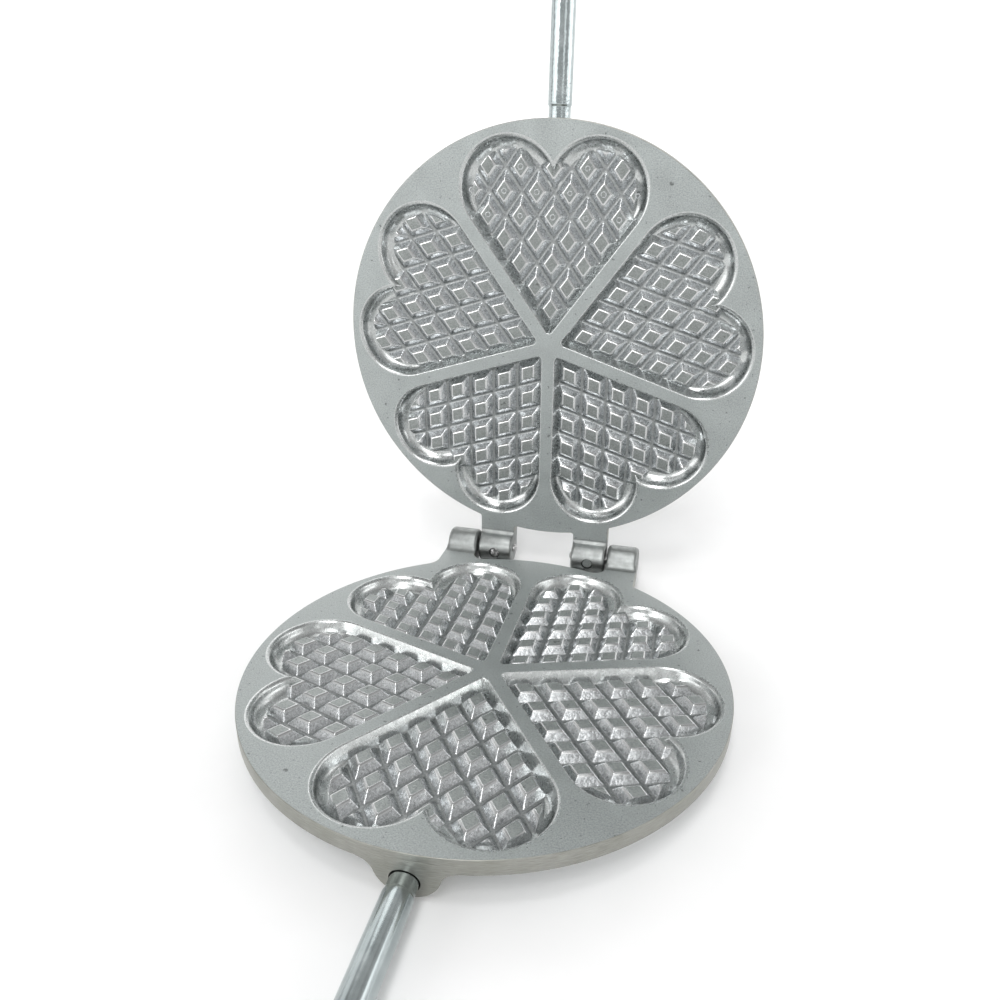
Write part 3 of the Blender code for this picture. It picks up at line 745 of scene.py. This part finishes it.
def slab_mesh(which):
    """Face, pockets and rim wall in one closed shell."""
    shape = bmesh.new()
    levels = [(RIM_EDGE + FACE_MARGIN, 0, FACE_SLOT), (RIM_EDGE, 0, FACE_SLOT)]
    for i in range(1, RIM_EDGE_STEPS + 1):
        a = pi / 2 / RIM_EDGE_STEPS * i
        levels.append((RIM_EDGE * (1 - sin(a)), -RIM_EDGE * (1 - cos(a)), RIM_SLOT))
    for inset_share, rise_share in RIM_FOOT_SHARES:
        levels.append((inset_share * RIM_EDGE, -RIM_HEIGHT + rise_share * RIM_EDGE, RIM_SLOT))
    rings = [add_ring(shape, plate_outline(which, level[0], level[1])) for level in levels]
    for low, high, level in zip(rings, rings[1:], levels[1:]):
        add_band(shape, low, high, level[2])
    hearts = [add_pocket(shape, index) for index in range(HEARTS)]
    fill_between(shape, [rings[0]] + hearts, FACE_SLOT)
    fill_between(shape, [rings[-1]], FACE_SLOT)
    return to_mesh(shape, "slab")


def back_mesh():
    """The coned edge and flat back, with a shallow turned ring and centre spot."""
    top = -UNDER_FLOOR
    profile = [(0, top), (PLATE_RADIUS - 2 * RIM_EDGE, top)]
    profile += [(PLATE_RADIUS - RIM_FOOT_SHARES[-1][0] * RIM_EDGE, -RIM_HEIGHT)]
    profile += arc((BACK_RADIUS - BACK_EDGE, -BACK_DEPTH + BACK_EDGE), BACK_EDGE, -BACK_CONE_ANGLE, -pi / 2,
                   BACK_STEPS)
    for radius in (BACK_RING_RADIUS, BACK_CENTRE_RADIUS):
        profile += [(radius + BACK_GROOVE, -BACK_DEPTH), (radius, -BACK_DEPTH + BACK_GROOVE),
                    (radius - BACK_GROOVE, -BACK_DEPTH)]
    profile += [(0, -BACK_DEPTH)]
    return turned_mesh("back", profile, PLATE_STEPS)


# Studs
def stud_places():
    """Lattice places of one heart, with the row; the one at the cleft is half buried in its wall."""
    step = STUD_PITCH * cos(HALF_SECTOR)
    spread = STUD_PITCH * sin(HALF_SECTOR)
    reach = FIELD_RADIUS + STUD_REACH_SHARE * STUD_PITCH
    for row in range(STUD_ROWS):
        for place_in_row in range(row + 1):
            u = (2 * place_in_row - row) * spread
            v = FIRST_STUD + row * step
            apart = sqrt((abs(u) - LOBE_X) ** 2 + (v - LOBE_Y) ** 2)
            in_reach = apart < reach or abs(u) < spread / 2
            if v < LOBE_Y or (in_reach and v < LOBE_Y + reach):
                yield u, v, row


def clip_to_lobe(shape, u):
    """Cut a stud back to the field's round, slightly drafted outline in its own lobe."""
    side = 1 if u > 0 else -1
    for i in range(FIELD_STEPS):
        angle = FIELD_START + (FIELD_END - FIELD_START) * i / (FIELD_STEPS - 1)
        out = Vector((side * cos(angle), sin(angle), 0))
        point = Vector((side * LOBE_X, LOBE_Y, -POCKET_DEPTH)) + out * FIELD_RADIUS
        normal = out * cos(FIELD_DRAFT) + Vector((0, 0, sin(FIELD_DRAFT)))
        geometry = shape.verts[:] + shape.edges[:] + shape.faces[:]
        cut = bmesh.ops.bisect_plane(shape, geom=geometry, dist=STUD_CUT_TOLERANCE, plane_co=point,
                                     plane_no=normal, clear_outer=True)
        edges = [item for item in cut["geom_cut"] if isinstance(item, bmesh.types.BMEdge)]
        if len(edges) > 2:
            made = bmesh.ops.contextual_create(shape, geom=edges)
            for face in made["faces"]:
                face.material_index = CUT_SLOT
        if not shape.faces:
            return
    shape.normal_update()
    rim = [edge for edge in shape.edges
           if len(edge.link_faces) == 2 and edge.calc_face_angle(0) > STUD_CUT_ANGLE
           and CUT_SLOT in [face.material_index for face in edge.link_faces]]
    # The cut edge is rounded in the edge material, whose lighter colour is a painted highlight
    bmesh.ops.bevel(shape, geom=rim, offset=STUD_CUT_ROUND, segments=2, profile=0.5, affect="EDGES",
                    clamp_overlap=True, material=EDGE_WEAR_AND_HIGHLIGHT_SLOT)
    for face in shape.faces:
        if face.material_index == CUT_SLOT:
            face.material_index = SMOOTH_SLOT


def side_reach(height):
    """Distance of a stud's side from its middle: hollow foot, straight slope, round top edge."""
    cell = STUD_PITCH * sin(HALF_SECTOR) * cos(HALF_SECTOR)
    foot, crown = STUD_BASE_SHARE * cell, STUD_TOP_SHARE * cell
    slope = atan2(STUD_HEIGHT, foot - crown)
    foot_reach = STUD_FOOT_ROUND * sin(slope / 2) / cos(slope / 2)
    top_reach = STUD_TOP_ROUND * sin(slope / 2) / cos(slope / 2)
    if height < foot_reach * sin(slope):
        drop = 1 - max(height, 0) / STUD_FOOT_ROUND
        return foot + foot_reach - STUD_FOOT_ROUND * sqrt(1 - drop ** 2)
    if height > STUD_HEIGHT - top_reach * sin(slope):
        rise = 1 - (STUD_HEIGHT - height) / STUD_TOP_ROUND
        return crown - top_reach + STUD_TOP_ROUND * sqrt(max(1 - rise ** 2, 0))
    return foot - height * cos(slope) / sin(slope)


def rounded_rhombus(reach, corner):
    """Plan outline whose sides lie at one distance from the middle."""
    inner = reach - corner
    a, b = inner / cos(HALF_SECTOR), inner / sin(HALF_SECTOR)
    points = []
    for centre, start, end in (((a, 0), -HALF_SECTOR, HALF_SECTOR), ((0, b), HALF_SECTOR, pi - HALF_SECTOR),
                               ((-a, 0), pi - HALF_SECTOR, pi + HALF_SECTOR),
                               ((0, -b), pi + HALF_SECTOR, 2 * pi - HALF_SECTOR)):
        points += arc(centre, corner, start, end, CORNER_STEPS)
    return points


def stud_shape(u, v, chance):
    """One truncated pyramid of the rhombic lattice, with round edges, a little uneven as cast."""
    shape = bmesh.new()
    shift = (chance.uniform(-STUD_SHIFT, STUD_SHIFT), chance.uniform(-STUD_SHIFT, STUD_SHIFT))
    spread = 1 + chance.uniform(-STUD_SPREAD_SHARE, STUD_SPREAD_SHARE)
    rings = []
    for share in (-STUD_ROOT / STUD_HEIGHT,) + STUD_LEVELS:
        height = share * STUD_HEIGHT
        share = max(share, 0)
        corner = STUD_CORNER_FOOT + (STUD_CORNER_TOP - STUD_CORNER_FOOT) * share
        reach = side_reach(height) * (1 + (spread - 1) * share)
        points = [(u + x + shift[0] * share, v + y + shift[1] * share, height - POCKET_DEPTH)
                  for x, y in rounded_rhombus(reach, corner)]
        # Stud feet take the groove's painted shade, top edges the edge colour with its painted highlight
        slot = SHADED_GROOVE_SLOT if share <= SHADED_GROOVE_SHARE else EDGE_WEAR_AND_HIGHLIGHT_SLOT if share > EDGE_WEAR_AND_HIGHLIGHT_SHARE else SMOOTH_SLOT
        rings.append((add_ring(shape, points), slot))
    for (low, _), (high, slot) in zip(rings, rings[1:]):
        add_band(shape, low, high, slot)
    shape.faces.new(rings[0][0])
    shape.faces.new(rings[-1][0]).material_index = FACE_SLOT
    bmesh.ops.recalc_face_normals(shape, faces=shape.faces)
    direction = atan2(v - LOBE_Y, abs(u) - LOBE_X)
    if abs(u) > MM and -HALF_SECTOR < direction < FIELD_END + HALF_SECTOR / 2:
        clip_to_lobe(shape, u)
    if len(shape.faces) < 4:
        shape.free()
        return None
    return shape


def mark_mesh(u, v, radius, slot):
    """A ring left on a stud's top by a bubble in the mould."""
    top = -POCKET_DEPTH + STUD_HEIGHT
    ring = [(radius + MARK_WIRE * cos(a), MARK_RISE_SHARE * MARK_WIRE * sin(a))
            for a in (pi, 3 * pi / 4, pi / 2, pi / 4, 0, -pi / 2)]
    mesh = turned_mesh("mark", ring, MARK_STEPS, [slot] * len(ring))
    mesh.transform(Matrix.Translation((u, v, top)))
    return mesh


def stud_field_mesh(which):
    """All studs of a plate; those of the heart next to the handle carry some bubble marks."""
    chance = random.Random(SEED if which == "lower" else SEED + 1)
    meshes = []
    for index in range(HEARTS):
        turn = Matrix.Rotation(pi + 2 * HALF_SECTOR * index, 4, "Z")
        for u, v, row in stud_places():
            shape = stud_shape(u, v, chance)
            if shape is None:
                continue
            if which == "upper":
                marked = index == 0 and row >= MARK_FIRST_ROW
            else:
                marked = index == 0 and chance.random() < MARK_CHANCE
            apart = sqrt((abs(u) - LOBE_X) ** 2 + (v - LOBE_Y) ** 2)
            inside = apart < FIELD_RADIUS - MARK_SETBACK or v < LOBE_Y
            found = [to_mesh(shape, "stud", smooth=False)]
            if marked and inside:
                mark_slot = SMOOTH_SLOT if which == "upper" else FACE_SLOT
                radius = MARK_RADIUS * chance.uniform(*MARK_SPREAD_SHARES)
                found.append(mark_mesh(u, v, radius, mark_slot))
            for mesh in found:
                mesh.transform(turn)
                meshes.append(mesh)
    made = joined(meshes, which + "_studs")
    for mesh in meshes:
        bpy.data.meshes.remove(mesh)
    smooth_by_angle(made, SHARP_STUD)
    return made


# Hinge knuckles
def knuckle_outline(fillet, drop):
    """Side view of a lug in Y and Z, drawn in by drop round its barrel and less down its hollow."""
    lift = fillet - HINGE_Z
    fillet_y = HINGE_Y - sqrt((KNUCKLE_RADIUS + fillet) ** 2 - lift ** 2)
    join = atan2(lift, fillet_y - HINGE_Y)
    hollow = []
    for i in range(HOLLOW_STEPS + 1):
        share = i / HOLLOW_STEPS
        a = -pi / 2 + (join - pi / 2) * share
        reach = fillet + drop * share ** 2
        hollow.append((fillet_y + reach * cos(a), fillet + reach * sin(a)))
    barrel = arc((HINGE_Y, HINGE_Z), KNUCKLE_RADIUS - drop, join, -pi / 2, BARREL_STEPS)
    under = [(HINGE_Y - NECK_FRONT, -NECK_UNDERSIDE), (NECK_ROOT, -NECK_UNDERSIDE),
             (NECK_ROOT, -UNDER_FLOOR), (NECK_START, -UNDER_FLOOR)]
    return [(NECK_START, -NECK_SINK), (fillet_y - NECK_RUN, -NECK_SINK)] + hollow + barrel[1:] + under


def knuckle_mesh(which, side):
    """One lug with its two ends rounded off."""
    shape = bmesh.new()
    ends = KNUCKLE_ROUND[which]
    near = LUG_START[which] + KNUCKLE_INSET
    far = LUG_START[which] + LUG_WIDTH[which] - KNUCKLE_INSET
    turns = [pi / 2 / KNUCKLE_END_STEPS * i for i in range(KNUCKLE_END_STEPS + 1)]
    levels = [(ends * (1 - cos(a)), ends * (1 - sin(a))) for a in turns]
    across = [(near + along, drop) for along, drop in levels]
    across += [(far - along, drop) for along, drop in reversed(levels)]
    rings = []
    for x, drop in across:
        outline = knuckle_outline(KNUCKLE_FILLET[which], drop)
        rings.append(add_ring(shape, [(x, y, z) for y, z in outline]))
    for low, high in zip(rings, rings[1:]):
        add_band(shape, low, high)
    shape.faces.new(rings[0])
    shape.faces.new(rings[-1])
    mesh = to_mesh(shape, "knuckle")
    if side < 0:
        mesh.transform(Matrix.Diagonal((-1, 1, 1, 1)))
        mesh.flip_normals()
    return mesh


def open_transform():
    """From the upper plate's frame to the lower plate's frame at the open stop."""
    axis = Matrix.Translation((0, HINGE_Y, HINGE_Z))
    return axis @ OPENED @ TURNED @ axis.inverted()


def toe_mesh(side):
    """Stop toe under an upper knuckle; it meets the lower plate's rim at the open stop."""
    inner = LUG_START["upper"] + TOE_INSET
    face = sqrt(PLATE_RADIUS ** 2 - inner ** 2) + TOE_GAP
    length = HINGE_Y - face - KNUCKLE_RADIUS / 2
    shape = bmesh.new()
    bmesh.ops.create_cube(shape, size=1, matrix=Matrix.Diagonal((TOE_WIDTH, length, TOE_HEIGHT, 1)))
    mesh = bevelled(to_mesh(shape, "toe"), TOE_ROUND, 3, TOE_ROUND_ANGLE)
    middle = Vector((side * (inner + TOE_WIDTH / 2), face + length / 2, -TOE_DROP))
    mesh.transform(open_transform().inverted() @ Matrix.Translation(middle))
    return mesh


def lock_place(side, height):
    return Vector((side * (LUG_START["upper"] + LUG_WIDTH["upper"] / 2), HINGE_Y, HINGE_Z + height))


def finished(mesh, slot):
    for face in mesh.polygons:
        face.material_index = slot
    smooth_by_angle(mesh, SHARP_CAST)
    return mesh


def lug_meshes(which):
    meshes = []
    depth = LUG_WIDTH[which] + OVERRUN + (OVERRUN if which == "upper" else -PIN_BLIND_WALL)
    for side in (-1, 1):
        lug = knuckle_mesh(which, side)
        if which == "upper":
            hole = rod_mesh(LOCK_HOLE_RADIUS, lock_place(side, PIN_RADIUS), (0, 0, 1), KNUCKLE_RADIUS)
            lug = combined(lug, hole, "DIFFERENCE")
        near = side * (LUG_START[which] - OVERRUN)
        bore = rod_mesh(PIN_RADIUS + PIN_CLEARANCE, (near, HINGE_Y, HINGE_Z), (side, 0, 0), depth)
        meshes.append(finished(combined(lug, bore, "DIFFERENCE"), KNUCKLE_SLOT))
        if which == "upper":
            meshes.append(finished(toe_mesh(side), KNUCKLE_SLOT))
    return meshes


# Handle boss
def boss_ring(y, bottom):
    """Front view of the boss at one depth: a round nose with hollow flanks."""
    centre_z = BOSS_RADIUS - bottom
    fillet_z = -RIM_HEIGHT - BOSS_FILLET
    fillet_x = sqrt((BOSS_RADIUS + BOSS_FILLET) ** 2 - (centre_z - fillet_z) ** 2)
    join = atan2(fillet_z - centre_z, fillet_x)
    flank = arc((fillet_x, fillet_z), BOSS_FILLET, pi / 2, join + pi, BOSS_FLANK_STEPS)
    nose = arc((0, centre_z), BOSS_RADIUS, join, -pi / 2, BOSS_NOSE_STEPS)
    half = [(fillet_x, -BOSS_TOP)] + flank + nose[1:-1]
    outline = half + [nose[-1]] + [(-x, z) for x, z in reversed(half)]
    return [(x, y, z) for x, z in outline]


def handle_line(which):
    """Where the tube's axis meets the rim, and its direction outwards."""
    mouth = Vector((HANDLE_SHIFT[which], -PLATE_RADIUS, -HANDLE_DEPTH))
    return mouth, Vector((0, -cos(HANDLE_TILT), -sin(HANDLE_TILT)))


def cross_pin_foot(which):
    return Vector((HANDLE_SHIFT[which], -PLATE_RADIUS + CROSS_PIN_SETBACK, -BOSS_DEPTH - OVERRUN))


def boss_mesh(which):
    """The boss is trimmed so that its front carries on the rim, then bored for the tube."""
    shape = bmesh.new()
    full = -PLATE_RADIUS + BOSS_LENGTH
    rings = [add_ring(shape, boss_ring(-PLATE_RADIUS - OVERRUN, BOSS_DEPTH)),
             add_ring(shape, boss_ring(full, BOSS_DEPTH)),
             add_ring(shape, boss_ring(full + BOSS_RUNOUT, BACK_DEPTH - BOSS_SINK))]
    add_band(shape, rings[0], rings[1])
    add_band(shape, rings[1], rings[2])
    shape.faces.new(rings[0])
    shape.faces.new(rings[2])
    proud = PLATE_RADIUS + BOSS_PROUD
    inner = PLATE_RADIUS - BOSS_LIP
    top = -BOSS_TOP - BOSS_GAP
    low = -BOSS_DEPTH - OVERRUN
    raked = proud - BOSS_RAKE_SHARE * (-low - RIM_HEIGHT)
    profile = [(0, -UNDER_FLOOR), (inner, -UNDER_FLOOR), (inner, top), (proud, top), (proud, -RIM_HEIGHT),
               (raked, low), (0, low)]
    trim = turned_mesh("trim", profile, PLATE_STEPS * 2)
    mesh = combined(to_mesh(shape, "boss"), trim, "INTERSECT")
    mesh = bevelled(mesh, BOSS_EDGE, 4, BOSS_EDGE_ANGLE)
    mouth, aim = handle_line(which)
    start = mouth - aim * SOCKET_DEPTH
    socket = rod_mesh(SOCKET_RADIUS, start, aim, SOCKET_DEPTH + SOCKET_OVERRUN, TUBE_STEPS)
    mesh = combined(mesh, socket, "DIFFERENCE")
    pin_hole = rod_mesh(CROSS_PIN_RADIUS + PIN_CLEARANCE, cross_pin_foot(which), (0, 0, 1),
                        BOSS_DEPTH - HANDLE_DEPTH)
    return finished(combined(mesh, pin_hole, "DIFFERENCE"), RIM_SLOT)


def add_casting(which):
    slab = slab_mesh(which)
    back = back_mesh()
    smooth_by_angle(slab, SHARP_TURNED)
    smooth_by_angle(back, SHARP_BACK)
    meshes = [slab, back, boss_mesh(which)] + lug_meshes(which)
    mesh = joined(meshes, which + "_casting")
    place(which + "_casting", mesh, which, CASTING_SLOTS, (which + "_plate",))
    place(which + "_studs", stud_field_mesh(which), which, (STUD_TOP_AND_SHADED_COPY[which],) + CASTING_SLOTS[1:])


# Handles
def on_handle(which, distance):
    """Frame whose +Z runs along the handle, a distance from the tube's inner end."""
    mouth, aim = handle_line(which)
    start = mouth - aim * (SOCKET_DEPTH - SOCKET_CLEARANCE - distance)
    return Matrix.Translation(start) @ Matrix.Rotation(pi / 2 + HANDLE_TILT, 4, "X")


def tube_profile(length):
    """Half section of a tube, swaged to a narrower neck at its inner end."""
    neck_end = SOCKET_DEPTH + NECK_EXPOSED
    body_start = neck_end + NECK_SHOULDER
    bore = TUBE_RADIUS - TUBE_WALL
    profile = [(NECK_RADIUS - TUBE_WALL, 0), (NECK_RADIUS - TUBE_LIP, 0), (NECK_RADIUS, TUBE_LIP)]
    for i in range(SHOULDER_STEPS + 1):
        t = i / SHOULDER_STEPS
        ease = t * t * (3 - 2 * t)
        profile.append((NECK_RADIUS + (TUBE_RADIUS - NECK_RADIUS) * ease, neck_end + NECK_SHOULDER * t))
    for i in range(1, BODY_STEPS):
        profile.append((TUBE_RADIUS, body_start + (length - body_start) * i / BODY_STEPS))
    profile += [(TUBE_RADIUS, length - TUBE_LIP), (TUBE_RADIUS - TUBE_LIP, length), (bore, length),
                (bore, body_start), (NECK_RADIUS - TUBE_WALL, neck_end)]
    return profile


def plug_profile():
    """Half section of an end plug: a domed head with one groove, on a stem inside the tube."""
    stem = TUBE_RADIUS - TUBE_WALL - PIN_CLEARANCE
    waist = PLUG_LENGTH * PLUG_WAIST_SHARE
    profile = [(0, PLUG_LENGTH)]
    profile += arc((PLUG_RADIUS - PLUG_ROUND, PLUG_LENGTH - PLUG_ROUND), PLUG_ROUND, pi / 2, 0,
                   PLUG_ROUND_STEPS)
    profile += [(PLUG_RADIUS, waist + PLUG_GROOVE), (PLUG_RADIUS - PLUG_GROOVE, waist),
                (PLUG_RADIUS, waist - PLUG_GROOVE), (PLUG_RADIUS, 3 * PIN_CLEARANCE),
                (PLUG_RADIUS - 2 * PIN_CLEARANCE, PIN_CLEARANCE), (stem, PIN_CLEARANCE),
                (stem, -PLUG_STEM), (0, -PLUG_STEM)]
    return profile


def add_handle(which):
    length = SOCKET_DEPTH - SOCKET_CLEARANCE + HANDLE_LENGTH
    name = which + "_handle_tube_shell"
    mesh = turned_mesh(name, tube_profile(length), TUBE_STEPS)
    smooth_by_angle(mesh, SHARP_TURNED)
    place(name, mesh, which, (ZINC[which],), (which + "_handle_tube",),
          on_handle(which, 0))

    name = which + "_handle_plug_cap"
    mesh = turned_mesh(name, plug_profile(), PLUG_STEPS)
    smooth_by_angle(mesh, SHARP_TURNED)
    place(name, mesh, which, (PLASTIC,), (which + "_handle_plug",), on_handle(which, length))

    name = which + "_cross_pin"
    foot = cross_pin_foot(which)
    low = OVERRUN + CROSS_PIN_RECESS
    top = -HANDLE_DEPTH + CROSS_PIN_SETBACK * sin(HANDLE_TILT) - PIN_CLEARANCE - foot.z
    profile = [(0, low), (CROSS_PIN_RADIUS - CROSS_PIN_EASE, low), (CROSS_PIN_RADIUS, low + CROSS_PIN_EASE),
               (CROSS_PIN_RADIUS, top), (0, top)]
    mesh = turned_mesh(name, profile, CROSS_PIN_STEPS)
    smooth_by_angle(mesh, SHARP_TURNED)
    mesh.transform(Matrix.Translation(foot))
    place(name, mesh, which, (STEEL,), (which + "_handle_pin",))


# Hinge and lock pins; the upper plate's frame is turned round, so its sides are swapped
def add_hinge_pin(side, word):
    name = "hinge_pin_body_" + word
    start = LUG_START["upper"] - PIN_NUB
    end = LUG_START["lower"] + LUG_WIDTH["lower"] - PIN_BLIND_WALL - PIN_CLEARANCE
    length = end - start
    profile = [(0, 0)] + [(radius_share * PIN_RADIUS, rise) for radius_share, rise in PIN_NOSE]
    profile += [(PIN_RADIUS, length - PIN_EASE), (PIN_RADIUS - PIN_EASE, length), (0, length)]
    mesh = turned_mesh(name, profile, PIN_STEPS)
    smooth_by_angle(mesh, SHARP_PIN)
    turn = Vector((-side, 0, 0)).to_track_quat("Z", "Y").to_matrix().to_4x4()
    mesh.transform(Matrix.Translation((-side * start, HINGE_Y, HINGE_Z)) @ turn)
    place(name, mesh, "upper", (STEEL,), ("hinge_pin_" + word,))


def add_lock_pin(side, word):
    """The left lock pin has a peened end, the right one a plain end."""
    name = "lock_pin_" + word
    chance = random.Random(SEED + side)
    foot = PIN_RADIUS + LOCK_LIFT
    top = KNUCKLE_RADIUS - LOCK_RECESS
    profile = [(0, foot), (LOCK_PIN_RADIUS, foot), (LOCK_PIN_RADIUS, top - LOCK_EASE),
               (LOCK_PIN_RADIUS - LOCK_EASE, top)]
    profile += [(LOCK_PIN_RADIUS * share, top) for share in LOCK_RING_SHARES] + [(0, top)]
    mesh = turned_mesh(name, profile, LOCK_STEPS)
    if word == "left":
        for vertex in mesh.vertices:
            if vertex.co.z > top - LOCK_EASE / 2:
                vertex.co.z += chance.uniform(*LOCK_PEEN) * MM
    smooth_by_angle(mesh, SHARP_LOCK_PIN)
    mesh.transform(Matrix.Translation(lock_place(-side, 0)))
    slots = (STEEL,) if word == "left" else (CAST,)
    place(name, mesh, "upper", slots, ("hinge_lock_pin_" + word,))


# Stage
def add_floor():
    """A sweep of white paper: flat under the iron, curving up into a wall behind it."""
    shape = bmesh.new()
    bend = arc((SWEEP_DEPTH - SWEEP_BEND, SWEEP_BEND), SWEEP_BEND, -pi / 2, 0, SWEEP_STEPS)
    side = [(-SWEEP_FRONT, 0)] + bend + [(SWEEP_DEPTH, SWEEP_HEIGHT)]
    low = add_ring(shape, [(-SWEEP_HALF_WIDTH, y, z) for y, z in side])
    high = add_ring(shape, [(SWEEP_HALF_WIDTH, y, z) for y, z in side])
    add_band(shape, low, high, closed=False)
    floor = add_object("studio_floor", to_mesh(shape, "studio_floor"))
    made, tree, shader = new_material("studio_paper", (0.96, 0.96, 0.96), metallic=0.0, roughness=0.9)
    paper = noise(tree, object_place(tree), scale=40, detail=2, rough=0.5)
    tree.links.new(ramp(tree, paper, (0.3, 0.95), (0.7, 0.97)), shader.inputs["Base Color"])
    shader.inputs["Specular IOR Level"].default_value = 0.1
    floor.data.materials.append(made)


def add_world():
    """A plain studio tent, a little greyer overhead."""
    world = bpy.data.worlds.new("studio")
    bpy.context.scene.world = world
    world.use_nodes = True
    tree = world.node_tree
    parts = tree.nodes.new("ShaderNodeSeparateXYZ")
    tree.links.new(tree.nodes.new("ShaderNodeTexCoord").outputs["Generated"], parts.inputs["Vector"])
    tree.links.new(ramp(tree, parts.outputs["Z"], *WORLD_GREYS), tree.nodes["Background"].inputs["Color"])


def add_sun(name, azimuth, elevation, spread, power):
    lamp = bpy.data.lights.new(name, "SUN")
    lamp.energy = power
    lamp.angle = radians(spread)
    holder = bpy.data.objects.new(name, lamp)
    bpy.context.scene.collection.objects.link(holder)
    a, e = radians(azimuth), radians(elevation)
    toward = Vector((sin(a) * cos(e), -cos(a) * cos(e), sin(e)))
    holder.rotation_euler = toward.to_track_quat("Z", "Y").to_euler()


def add_camera():
    data = bpy.data.cameras.new("photo_camera")
    data.lens = FOCAL_LENGTH
    data.sensor_width = SENSOR_WIDTH
    data.shift_x = SHIFT_X
    data.shift_y = SHIFT_Y
    data.clip_start = CLIP_START
    camera = bpy.data.objects.new("photo_camera", data)
    bpy.context.scene.collection.objects.link(camera)
    look = Matrix.Rotation(VIEW_AZIMUTH, 4, "Z") @ Matrix.Rotation(pi / 2 - VIEW_ELEVATION, 4, "X")
    camera.matrix_world = LOWER @ Matrix.Translation(EYE) @ look @ Matrix.Rotation(VIEW_ROLL, 4, "Z")
    bpy.context.scene.camera = camera


add_casting("lower")
add_casting("upper")
add_handle("lower")
add_handle("upper")
for side, word in ((-1, "left"), (1, "right")):
    add_hinge_pin(side, word)
    add_lock_pin(side, word)
add_floor()
add_world()
for number, (azimuth, elevation, radius, radiance) in enumerate(SOFT_LAMPS):
    power = radiance * pi * sin(radians(radius)) ** 2
    add_sun("soft_lamp_%d" % number, azimuth, elevation, 2 * radius, power)
for sun in SUNS:
    add_sun(*sun)
add_camera()
bpy.context.scene.view_settings.view_transform = "Standard"
